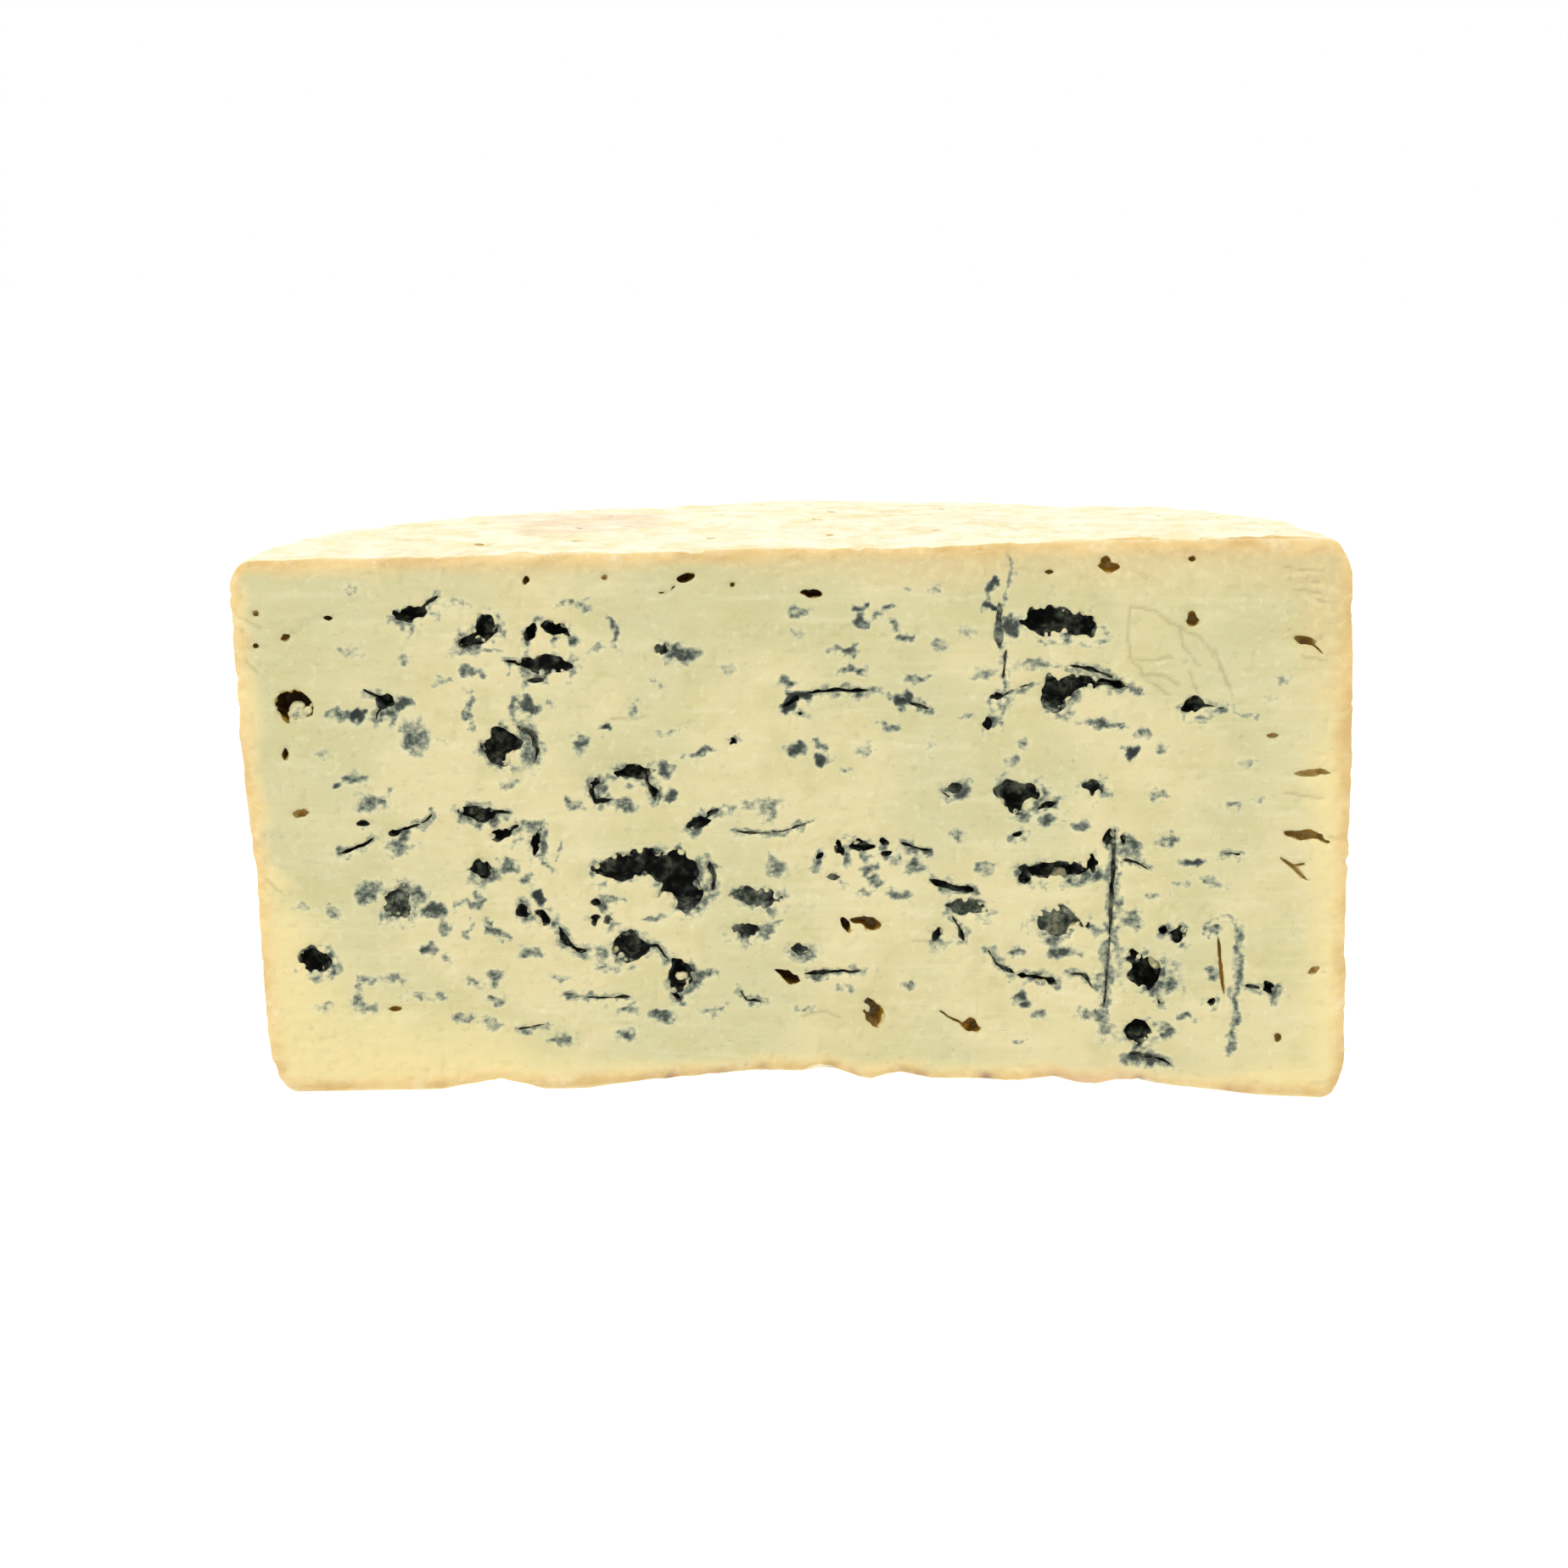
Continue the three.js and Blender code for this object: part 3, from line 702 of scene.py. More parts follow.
grid = openvdb.FloatGrid(FAR_FROM_AIR)
grid.copyFromArray(to_air)
air_cells, _, air_faces = grid.convertToPolygons(isovalue=0.0)
air_points = BLOCK_LOW + CELL * (air_cells + 0.5)
shift = len(air_points)
air_and_holes = air_faces.tolist() + [[corner + shift for corner in face] for face in tube_faces]
cheese = add_mesh("cheese_half_wheel", body_points, faces)
air = add_mesh("air_in_the_eyes", np.vstack([air_points, tube_points]), air_and_holes)

open_eyes = cheese.modifiers.new("Open the eyes", "BOOLEAN")
open_eyes.operation = "DIFFERENCE"
open_eyes.solver = "MANIFOLD"
open_eyes.object = air
bpy.context.view_layer.update()
cut_mesh = bpy.data.meshes.new_from_object(cheese.evaluated_get(bpy.context.evaluated_depsgraph_get()))
cheese.modifiers.clear()
cheese.data = cut_mesh
bpy.data.objects.remove(air)
print("After the cut:", len(cut_mesh.vertices), "vertices,", len(cut_mesh.polygons), "faces")

# %% [markdown]
# ## Marks of the mould on the cut
#
# Mould also grows in cracks too fine to see, so much of it shows as soft grey-blue smears, and the knife
# drags some of it sideways over the paste. Each smear is listed as a soft ellipse: its place, half its size,
# a tilt and a strength. Fainter lines run along closed cracks and needle channels, and hairline creases show
# where the paste has begun to dry.

# %% Smears, lines and creases
# across, up, half width, half height, tilt, strength
SMEARS = [
    (-66.0, 66.5, 2.0, 2.3, 0, 0.6), (-76.8, 58.7, 1.6, 1.0, 10, 0.6), (-79.8, 57.7, 0.7, 0.6, 0, 0.8),
    (-82.9, 63.4, 1.4, 0.9, 0, 0.5), (-72.2, 55.4, 1.6, 1.0, 0, 0.6), (-74.5, 54.2, 1.5, 1.4, 30, 0.6),
    (-78.8, 70.4, 2.2, 1.0, 0, 0.6), (-76.0, 70.2, 1.3, 0.8, 0, 0.9), (-68.5, 46.5, 2.4, 1.2, 0, 0.5),
    (-74.2, 38.0, 2.0, 1.5, 0, 0.6), (-65.9, 38.0, 1.6, 1.4, 0, 0.6), (-63.2, 34.5, 1.9, 1.1, 0, 0.7),
    (-81.4, 34.2, 1.4, 0.9, 0, 0.5), (-86.2, 35.2, 1.2, 0.8, 0, 0.45), (-70.5, 21.6, 2.2, 0.9, 0, 0.45),
    (-74.8, 21.4, 1.7, 0.9, 0, 0.48), (-77.0, 18.6, 0.9, 2.8, 0, 0.52), (-74.8, 15.8, 1.8, 0.7, 0, 0.48),
    (-83.5, 16.0, 1.4, 0.7, 0, 0.4), (-64.0, 27.7, 1.4, 1.0, 0, 0.6), (-61.5, 31.5, 1.2, 1.0, 0, 0.5),
    (-60.6, 25.5, 1.3, 0.9, 0, 0.5), (-62.3, 18.6, 1.5, 0.7, 0, 0.48), (-66.5, 18.4, 3.0, 0.5, 0, 0.42),
    (-54.4, 82.0, 4.0, 0.5, 0, 0.5), (-55.9, 78.3, 1.2, 0.8, 0, 0.6), (-53.8, 78.0, 0.7, 0.5, 0, 0.6),
    (-55.8, 71.5, 0.7, 2.6, 0, 0.55), (-47.9, 72.0, 0.7, 1.8, 0, 0.6), (-45.2, 72.2, 1.8, 0.8, -40, 0.7),
    (-49.1, 58.3, 1.3, 0.8, 0, 0.5), (-35.8, 65.7, 1.1, 1.6, 0, 0.6), (-31.0, 68.5, 0.7, 0.6, 0, 0.9),
    (-20.1, 67.9, 2.0, 0.7, 10, 0.4), (-29.6, 86.0, 0.7, 2.4, 10, 0.6), (-35.3, 90.4, 1.4, 0.8, 0, 0.5),
    (-37.5, 91.0, 2.6, 0.4, 0, 0.5), (-33.3, 82.7, 1.4, 0.8, 0, 0.5), (-26.9, 72.0, 0.9, 1.6, -15, 0.45),
    (-22.5, 76.4, 1.2, 0.7, 0, 0.45), (-18.0, 82.4, 2.6, 1.2, 0, 0.7), (-49.2, 43.1, 1.4, 1.0, 0, 0.6),
    (-45.9, 40.4, 1.3, 1.1, 0, 0.6), (-43.5, 37.4, 1.0, 0.9, 0, 0.95), (-56.5, 35.6, 1.6, 0.6, 0, 0.55),
    (-54.6, 36.3, 0.6, 1.3, 0, 0.5), (-56.5, 31.2, 0.4, 1.8, 0, 0.5), (-51.4, 31.0, 2.1, 0.7, -35, 0.6),
    (-44.9, 27.2, 1.5, 0.8, 0, 0.55), (-31.9, 26.7, 1.5, 1.0, 0, 0.6), (-23.1, 33.5, 1.9, 0.7, 0, 0.6),
    (-51.9, 21.9, 1.3, 1.4, 0, 0.6), (-55.8, 20.8, 1.2, 0.8, 0, 0.5), (-51.6, 17.8, 1.4, 0.8, 0, 0.6),
    (-53.0, 13.5, 1.5, 0.7, 0, 0.5), (-40.6, 22.4, 1.6, 0.9, 0, 0.5), (-27.4, 16.1, 1.5, 0.8, 0, 0.5),
    (-28.2, 11.5, 1.6, 1.0, 0, 0.6), (-21.3, 15.2, 1.9, 1.0, 0, 0.65), (-39.8, 10.7, 2.0, 0.9, 0, 0.5),
    (-58.0, 14.8, 1.8, 0.7, 0, 0.5), (-67.3, 72.6, 1.5, 1.2, 0, 0.7), (-69.6, 70.4, 1.2, 1.4, 20, 0.6),
    (3.0, 89.4, 1.6, 0.8, 0, 0.55), (13.6, 90.1, 1.2, 0.6, 0, 0.7), (14.7, 88.2, 1.0, 0.9, 0, 0.6),
    (18.0, 91.0, 1.3, 0.7, 0, 0.55), (17.2, 88.8, 0.9, 0.7, 0, 0.6), (20.0, 87.4, 1.2, 0.7, 0, 0.6),
    (21.7, 85.7, 1.9, 0.6, 0, 0.6), (3.0, 85.8, 1.2, 0.7, 0, 0.45), (11.8, 83.1, 1.6, 0.8, 0, 0.6),
    (9.0, 82.5, 1.2, 0.6, 0, 0.5), (12.4, 79.7, 1.6, 0.9, 0, 0.6), (-9.0, 79.6, 1.4, 0.8, 0, 0.45),
    (0.9, 77.1, 1.7, 0.9, 0, 0.6), (3.2, 74.2, 1.9, 0.9, 0, 0.9), (1.2, 72.6, 1.2, 0.7, 0, 0.9),
    (24.3, 77.7, 2.1, 0.6, 0, 0.55), (21.6, 74.0, 1.3, 1.4, 0, 0.75), (-15.0, 64.0, 2.5, 0.6, 20, 0.65),
    (2.2, 64.9, 1.6, 0.9, 0, 0.7), (6.7, 63.1, 1.3, 1.0, 0, 0.8), (7.0, 65.6, 1.0, 0.8, 0, 0.6),
    (14.5, 64.9, 1.1, 1.0, 0, 0.5), (19.4, 68.8, 1.6, 0.8, 0, 0.5), (11.6, 60.9, 1.2, 0.7, 0, 0.45),
    (-5.0, 54.7, 3.2, 1.0, 0, 0.4), (-0.7, 43.2, 1.6, 1.3, 0, 0.5), (6.6, 42.8, 1.3, 0.8, 0, 0.55),
    (16.0, 43.0, 1.5, 0.9, 0, 0.6), (17.4, 40.9, 1.3, 0.8, 0, 0.6), (24.0, 43.8, 1.8, 1.1, 0, 0.6),
    (15.0, 38.3, 1.4, 0.6, 0, 0.45), (21.7, 38.0, 1.7, 0.8, 0, 0.6), (11.5, 20.5, 1.3, 0.7, 0, 0.45),
    (23.6, 21.9, 1.3, 0.7, 0, 0.5), (4.7, 16.8, 1.5, 0.6, 0, 0.4), (-12.2, 16.2, 2.4, 0.6, 15, 0.5),
    (27.6, 94.4, 1.2, 0.6, 0, 0.4), (22.3, 93.7, 0.9, 0.6, 0, 0.4), (28.3, 84.3, 1.1, 0.7, 0, 0.5),
    (26.7, 65.1, 0.5, 1.8, 0, 0.4), (43.2, 66.9, 1.4, 0.9, 0, 0.5), (41.9, 63.3, 1.2, 1.0, 0, 0.5),
    (57.5, 70.0, 3.3, 0.7, 0, 0.65), (64.8, 67.9, 1.4, 0.8, 0, 0.5), (62.6, 64.8, 0.9, 0.8, 0, 0.9),
    (68.3, 65.5, 1.2, 0.8, 0, 0.5), (67.6, 56.9, 1.4, 0.8, 0, 0.5), (32.2, 49.4, 1.3, 1.0, 0, 0.5),
    (36.3, 43.4, 1.5, 0.9, 0, 0.5), (48.2, 51.7, 1.6, 0.8, 0, 0.6), (54.1, 51.5, 1.5, 0.9, 0, 0.55),
    (51.5, 27.6, 2.1, 0.8, 0, 0.65), (43.0, 27.7, 1.5, 0.8, 0, 0.6), (44.0, 18.4, 1.2, 0.9, 0, 0.7),
    (47.0, 15.8, 1.4, 0.7, 0, 0.5), (56.8, 16.2, 2.1, 0.7, 0, 0.6), (43.4, 10.5, 1.3, 0.7, 0, 0.4),
    (89.0, 78.1, 1.3, 0.7, 0, 0.4), (86.7, 74.3, 1.2, 0.8, 0, 0.4), (84.0, 63.0, 1.3, 0.7, 0, 0.45),
    (81.9, 55.1, 1.4, 0.7, 0, 0.5), (86.0, 56.0, 1.0, 0.6, 0, 0.45), (69.6, 48.2, 1.5, 0.9, 0, 0.6),
    (63.3, 47.5, 1.4, 1.0, 0, 0.6), (78.4, 41.0, 1.6, 0.8, 0, 0.5), (74.0, 44.2, 1.7, 0.7, 10, 0.75),
    (67.8, 37.5, 1.2, 0.7, 0, 0.4), (63.5, 33.7, 2.0, 1.3, 0, 0.55), (77.7, 31.8, 1.0, 0.8, 0, 0.6),
    (74.0, 15.6, 1.5, 0.6, 0, 0.6), (70.8, 12.6, 1.4, 0.9, 0, 0.6), (71.6, 21.2, 1.5, 1.2, 0, 0.6),
    (78.4, 23.5, 1.1, 0.8, 0, 0.55), (71.0, 24.0, 2.2, 2.6, 0, 0.4), (-14.0, 23.6, 1.8, 1.0, 0, 0.6),
    (36.6, 79.0, 1.6, 1.0, 0, 0.5), (45.4, 80.6, 3.0, 0.6, 0, 0.5), (33.0, 86.6, 1.3, 0.8, 0, 0.4),
    (40.6, 87.0, 1.1, 1.8, 0, 0.74), (37.0, 90.6, 1.5, 0.5, 0, 0.9), (36.8, 93.8, 0.5, 1.6, -20, 0.8),
    (-45.4, 65.2, 1.8, 4.0, 8, 0.55), (-20.4, 61.2, 1.5, 1.0, -40, 0.7), (-20.0, 56.2, 0.7, 1.2, 30, 0.7),
    (-27.9, 54.4, 1.6, 0.9, 0, 0.6), (66.6, 7.4, 3.2, 1.3, -10, 0.7), (59.2, 12.6, 1.2, 1.6, 0, 0.4),
    (-77.0, 93.2, 1.9, 0.9, 0, 0.36), (-57.9, 90.6, 2.4, 0.8, -8, 0.38), (-77.6, 82.2, 1.8, 0.7, -12, 0.42),
    (-67.7, 80.5, 0.8, 0.9, 0, 0.5), (-60.5, 77.0, 1.3, 0.6, 0, 0.42), (-41.4, 72.4, 1.1, 0.5, 0, 0.48),
    (-62.5, 66.0, 2.8, 0.4, 0, 0.42), (-2.0, 54.0, 1.6, 1.2, 30, 0.5), (-31.4, 24.0, 1.6, 0.9, 0, 0.5),
    (33.2, 71.2, 1.2, 0.7, 0, 0.45), (72.2, 40.0, 1.4, 0.8, 0, 0.45), (62.0, 25.4, 1.0, 2.2, 0, 0.4),
]
# Fainter lines: half width, strength, points.
FAINT_LINES = [
    (0.5, 0.55, [(40.2, 102), (40.1, 96), (39.6, 92)]), (0.5, 0.6, [(39.7, 78), (39.3, 70)]),
    (1.1, 0.6, [(59.6, 50), (58.9, 14)]), (0.4, 0.5, [(59.2, 15), (59, 10)]),
    (1.0, 0.55, [(83.4, 33), (82.8, 9)]), (0.3, 0.75, [(83.4, 31.4), (83.1, 12)]),
    (0.6, 0.5, [(77, 33.4), (79, 34.5), (81.4, 34), (82.8, 32)]), (0.5, 0.6, [(-43.8, 44.4), (-41.2, 43)]),
    (0.5, 0.5, [(-40.2, 47), (-40, 44.4)]), (0.7, 0.6, [(-47.4, 50.6), (-43.3, 51)]),
    (0.6, 0.6, [(-38.9, 55.6), (-36.4, 53.8)]), (0.6, 0.6, [(-32.6, 36.6), (-28.7, 37)]),
    (0.6, 0.6, [(-2, 31.3), (0.9, 33.1)]), (0.7, 0.6, [(-11.9, 53.8), (-8.6, 54.4)]),
    (0.6, 0.7, [(61, 76.6), (64.6, 75)]), (0.5, 0.6, [(16, 75.3), (21, 74.4)]),
    (0.5, 0.5, [(80, 72.8), (85, 71.4)]),
]
# Hairline creases where the paste has begun to dry, and the rough ridges beside the rind on the high side.
CREASES = [
    [(61.6, 91), (61.5, 85), (62.6, 81), (64.6, 79)],
    [(62, 91), (66, 90), (70, 87.6), (74, 85.6), (77, 82)], [(61.8, 81.8), (66, 81.2), (69.4, 81.8)],
    [(71, 87), (71.4, 83.6), (74.6, 80.4)], [(77, 83), (79, 79), (80.4, 74.6)],
    [(64, 78.8), (68, 78.6), (71, 76.8)], [(65, 77.6), (69.4, 75)], [(72.6, 79.4), (74.6, 75.6)],
    [(89, 98.4), (93, 97.8), (95.6, 98)], [(89.6, 96), (95, 95.6)], [(95, 92.2), (97.4, 91.8)],
    [(90.6, 94.4), (95.6, 93.4)], [(93, 82.4), (97, 81.4)], [(40.4, 102.6), (40.3, 99), (40, 95.6)],
    [(90.4, 57.4), (97.4, 56.6)], [(99, 49.4), (102, 49)], [(-96.4, 88), (-92.6, 86.4)],
    [(-95.4, 80.6), (-93.6, 78)], [(-93, 40), (-90.4, 37.8)], [(24, 29.6), (30, 29)],
    [(4, 15.4), (8, 16.2), (11, 15.2)], [(-30, 70), (-24, 70.6)],
]
print(len(SMEARS), "smears,", len(FAINT_LINES), "faint lines and", len(CREASES), "creases")

# %% [markdown]
# ### A map of the cut
#
# The marks are painted into a map of the cut with four cells to the millimetre. Its places are shaken with
# noise first, so a plain ellipse comes out ragged. A strong smear is painted much stronger than a faint one,
# so its middle turns almost black, as real growth does.

# %% Paint the map
SMEAR_CELL = 0.25
SMEAR_GAIN = 1.55
SMEAR_POWER = 1.45  # keeps faint smears faint
SMEAR_SHARE = 0.78  # below 1, so that a smear is painted larger than listed
SLIT_SMEAR = 0.5  # the strength of the mould beside a slit
CREASE_STRAIGHTNESS = 0.7
smear_across = np.arange(BLOCK_LOW[0], BLOCK_HIGH[0], SMEAR_CELL)
smear_up = np.arange(BLOCK_LOW[2], BLOCK_HIGH[2], SMEAR_CELL)
cut_grid = np.stack(np.meshgrid(smear_across, [0.0], smear_up, indexing="ij"), axis=-1)[:, 0]
smear_map = np.zeros(cut_grid.shape[:2], dtype=np.float32)
wobble = [0.9 * noise(cut_grid, 1.9, 40 + axis) + 0.6 * noise(cut_grid, 0.8, 43 + axis) for axis in (0, 1)]
shaken_cut = cut_grid[..., [0, 2]] + np.stack(wobble, axis=-1)


def smear(strength, window, far):
    """Adds a soft mark: full where `far` is below 0.35, gone at 1.6."""
    np.maximum(smear_map[window], strength * (1 - step(0.35, 1.6, far)), out=smear_map[window])


for across, up, half_width, half_height, tilt, strength in SMEARS:
    reach = 2 * max(half_width, half_height) + 1.5
    i = np.searchsorted(smear_across, [across - reach, across + reach])
    k = np.searchsorted(smear_up, [up - reach, up + reach])
    window = (slice(*i), slice(*k))
    x, z = np.moveaxis(shaken_cut[window] - [across, up], -1, 0)
    c, s = math.cos(math.radians(tilt)), math.sin(math.radians(tilt))
    far = np.hypot((x * c + z * s) / half_width, (z * c - x * s) / half_height)
    smear(SMEAR_GAIN * strength**SMEAR_POWER, window, SMEAR_SHARE * far)
everywhere = (slice(None), slice(None))
for half_width, strength, line in FAINT_LINES:
    smear(strength, everywhere, line_distance(shaken_cut, line)[0] / half_width)
for half_width, _, line in BLACK_SLITS + GREY_SLITS:
    smear(SLIT_SMEAR, everywhere, line_distance(shaken_cut, line)[0] / (half_width + 0.4))
crease_map = np.zeros_like(smear_map)
nearly_straight = CREASE_STRAIGHTNESS * cut_grid[..., [0, 2]] + (1 - CREASE_STRAIGHTNESS) * shaken_cut
for line in CREASES:
    np.maximum(crease_map, 1 - step(0.05, 0.45, line_distance(nearly_straight, line)[0]), out=crease_map)
print("Mould is painted on", f"{(smear_map > 0.3).mean():.1%}", "of the map of the cut")

# %% [markdown]
# ## Values at each vertex
#
# The material needs to know, anywhere on the cheese, how mouldy the surface is, how deep in an eye it lies
# and how near the rind. These are worked out once for each vertex and stored as attributes, which the shader
# then reads. They follow the mesh wherever it goes.
#
# First each vertex is looked up in the block and in the map: how near the next opening is, what kind of wall
# it has, and whether the vertex lies on the cut, in an eye or in a needle hole.

# %% Where each vertex lies
def near_cell(points):
    index = np.round((points - BLOCK_LOW) / CELL - 0.5).astype(int)
    return tuple(np.clip(index, 0, block_shape - 1).T)


def in_map(points, painted):
    """A painted map at these points, blended between its four nearest values."""
    place = (points[:, [0, 2]] - [smear_across[0], smear_up[0]]) / SMEAR_CELL
    corner = np.clip(np.floor(place).astype(int), 0, np.array(painted.shape) - 2)
    part = np.clip(place - corner, 0, 1)
    i, k = corner.T
    low = painted[i, k] * (1 - part[:, 0]) + painted[i + 1, k] * part[:, 0]
    high = painted[i, k + 1] * (1 - part[:, 0]) + painted[i + 1, k + 1] * part[:, 0]
    return low * (1 - part[:, 1]) + high * part[:, 1]


CUT_SKIN = 0.12  # a vertex this close behind the cut counts as on it
DRAG = (-0.7, 0, 0.5)  # the blade came from the upper left, so it dragged mould to the lower right
places = np.empty(len(cut_mesh.vertices) * 3, dtype=np.float32)
cut_mesh.vertices.foreach_get("co", places)
points = to_drawing(places.reshape(-1, 3))
below_cut = points[:, 1]
near_cut = below_cut < BLOCK_HIGH[1]
just_behind = np.stack([points[:, 0], np.maximum(below_cut, 0.2), points[:, 2]], axis=-1)
air_gap = np.where(near_cut, to_air[near_cell(just_behind)], FAR_FROM_AIR)
dragged_gap = np.where(near_cut, to_air[near_cell(just_behind + DRAG)], FAR_FROM_AIR)
kind_here = np.where(near_cut, wall_kind[near_cell(points)], BARE)
depth_below = rind_depth(points)
on_cut = near_cut & (below_cut < CUT_SKIN)
in_eye = near_cut & ~on_cut & (np.abs(to_air[near_cell(points)]) < 1.2 * CELL) & (depth_below > 0.8)
in_needle_hole = (below_cut > BLOCK_HIGH[1]) & (depth_below > 0.7)
print(int(on_cut.sum()), "vertices on the cut and", int(in_eye.sum()), "in its eyes")
print(int(in_needle_hole.sum()), "in the needle holes")

# %% [markdown]
# ### How mouldy, and how deep
#
# The mould is thick on the walls of the black eyes, thinner in the grey ones and nearly absent from bare
# walls and clean curd. Outside an eye it fades within a millimetre or so, further on the side that the blade
# dragged it to. Bare walls get the `amber` value instead, a little weaker near the rind on the high side.

# %% Mould and amber
# for bare walls, grey ones, black ones and clean curd
FRINGE_OF_KIND = [0.0, 0.65, 0.8, 0.6]
FELT_OF_KIND = [0.04, 0.88, 1.0, 0.14]
patch = noise(points, (1.7, 2.2, 2.6), 51) * 0.6 + noise(points, 0.9, 52) * 0.4
fringe = np.clip(1.0 - np.minimum(air_gap + 0.9, dragged_gap) / 1.7, 0, 1) * step(-0.35, 0.45, patch)
fringe *= np.choose(kind_here, FRINGE_OF_KIND)
painted = in_map(points, smear_map)
crease = np.where(on_cut, in_map(points, crease_map), 0)
mould = np.where(on_cut, np.maximum(painted, fringe), 0)
grown = np.choose(kind_here, FELT_OF_KIND) * (0.80 + 0.35 * patch)
at_the_lip = np.maximum(0.55 * grown, mould)
mould = np.where(in_eye, np.where(below_cut < 0.5, at_the_lip, grown), mould)
mould = np.where(in_needle_hole, 0.5 + 0.4 * patch, mould)
amber = np.where(in_eye & (kind_here == BARE), step(0.15, 1.4, below_cut), 0)
amber *= 1 - 0.25 * step(84, 92, points[:, 0])
eye_depth = np.where(in_eye, below_cut, np.where(in_needle_hole, depth_below, 0))
print(f"{(mould[on_cut] > 0.3).mean():.1%} of the cut's vertices are mouldy")

# %% [markdown]
# ### Rind and dried paste
#
# The rind's ochre goes 3 mm into the cheese, and on the cut it shows a paler band 5 mm wide. Inside that the
# paste has dried to a warm cream, in a band that is wider at the top of the high side and at the foot of the
# low side. Two values mark the hollows and the high spots of the rind's wrinkles, for painted shade in the
# hollows and a painted highlight on the high spots.

# %% Rind, dry edge, painted shade in the dents and highlight on the knobs
skin = np.where(near_cut, 5.2, 3.2)
rind = 1 - step(0.0, 1.0, (depth_below - 0.2 + 0.6 * noise(points, (6, 6, 4), 53)) / skin)
rind = np.where(in_eye, 0.3 * rind, np.where(on_cut, 0.78 * rind, rind))
rind = np.where(in_needle_hole, 1 - step(0.7, 2.5, depth_below), rind)
high_side = step(-30, 40, points[:, 0]) * step(70, 92, points[:, 2]) + 1.2 * step(78, 98, points[:, 0])
low_side = step(-20, -80, points[:, 0]) * step(50, 12, points[:, 2])
band = 5.0 + 5.5 * high_side + 22 * low_side
dry_edge = 1 - step(0.15, 1.0, (depth_below + 1.3 * noise(points, (9, 9, 4), 58)) / band)
dry_edge = np.where(in_eye, 0.5 * dry_edge, dry_edge)
beige = step(55, 96, points[:, 2]) * step(-95, -60, points[:, 0])
texture = rind_texture(points)
# Painted shade in the hollows of the rind's wrinkles, and painted highlight on their high spots.
wrinkle_shade = step(0.05, -0.50, texture)
wrinkle_highlight = step(0.10, 0.30, texture)
print(f"The dry edge is up to {band[on_cut].max():.0f} mm wide")

# %% [markdown]
# ### Stains and bloom
#
# The draining mat has left brown-mauve stains along the foot of the cut. Pinkish bloom sits in a few patches
# on the rind, one of them on the top behind the cut. Both are broken up by noise.

# %% Stains and bloom, and store every value
# where along the foot, and half width
FOOT_STAINS = [
    (-21, 6), (-11, 3), (-3, 1.6), (9.5, 1.6), (13.5, 1.4),
    (24.5, 2.4), (38, 1.6), (51, 2), (66, 3), (84, 2.4),
]
BLOOM_PLACE = (-40, 50)  # across, and back from the cut
BLOOM_SIZE = (20, 26)
stain = np.zeros(len(points))
for place, half_width in FOOT_STAINS:
    spot = np.exp(-(((points[:, 0] - place) / half_width) ** 2)) * (1 + 0.8 * noise(points, 2, 59))
    stain = np.maximum(stain, spot)
stain *= near_cut * (points[:, 2] < 20) * (1 - step(0.3, 3.0, depth_below))

on_top = step(HEIGHT - 6, HEIGHT - 1, points[:, 2])
from_bloom = (points[:, [0, 1]] - BLOOM_PLACE) / BLOOM_SIZE
patch_far = np.hypot(from_bloom[:, 0], from_bloom[:, 1]) + 0.35 * noise(points, 9, 55)
elsewhere = step(0.42, 0.8, noise(points, (30, 30, 22), 56)) * (1 - 0.8 * on_top)
bloom = np.maximum(on_top * (1 - step(0.5, 1.1, patch_far)), elsewhere)
bloom *= 0.55 + 0.45 * noise(points, 4, 57)

carried_values = {
    "mould": mould, "amber": amber, "rind": rind, "dry_edge": dry_edge, "beige": beige, "bloom": bloom,
    "crease": crease, "stain": stain, "wrinkle_shade": wrinkle_shade, "wrinkle_highlight": wrinkle_highlight, "eye_depth": eye_depth,
}
for name, values in carried_values.items():
    attribute = cut_mesh.attributes.new(name, "FLOAT", "POINT")
    attribute.data.foreach_set("value", values.astype(np.float32))
    print(f"{name}: up to {values.max():.2f}, on average {values.mean():.3f}")

# %% [markdown]
# ## Relief of the cut
#
# A blade drags across soft paste. It leaves fine level ridges, pulls out crumbs, and rounds over the edge of
# each eye where it drops in. All of this is small, from a fiftieth of a millimetre to half of one, and only
# the rim of the rind is rounded by more. It is what catches the light, and it is done by moving the vertices
# straight in or out of the cut.

# %% Move the vertices of the cut
RIM_ROUNDING = 1.1  # how far the rim of the cut is rounded back
RIM_WIDTH = 2.4
EYE_ROUNDING = 0.38
MOVED_IN = 0.12  # the whole cut, which leaves room for what stands out of it

drag = 0.022 * noise(points, (14, 1, 1.3), 61) + 0.012 * noise(points, (6, 1, 0.6), 62)
curds = 0.16 * noise(points, 7.5, 63) + 0.07 * noise(points, 2.6, 64)
near_edge = 1 - step(0.5, 4.0, depth_below)
crumbs = 0.12 * step(0.45, 0.8, noise(points, 1.3, 65)) - 0.20 * step(0.5, 0.8, noise(points, 1.5, 66))
crumbs += 0.35 * near_edge * noise(points, (2.6, 1, 1.6), 68)
crumbs += 0.16 * np.where(near_cut, dry_edge, 0) * noise(points, (1.5, 1, 1.1), 69)
rounding = EYE_ROUNDING * np.clip(1 - np.maximum(air_gap, 0) / 1.3, 0, 1) ** 2
cracks = 0.22 * step(0.3, 0.7, painted) + 0.25 * crease
near_surface = near_cut * (1 - step(0, 1.6, below_cut)) * step(0.2, 2.5, depth_below)
inward = (MOVED_IN - drag - curds - crumbs + rounding + cracks) * near_surface
rim = np.clip(1 - depth_below / RIM_WIDTH, 0, 1) ** 2
inward += RIM_ROUNDING * rim * (1 - step(0, 3.0, below_cut)) * near_cut
felted = 0.14 * noise(points, 0.8, 67) * in_eye * step(0.4, 1.5, below_cut)
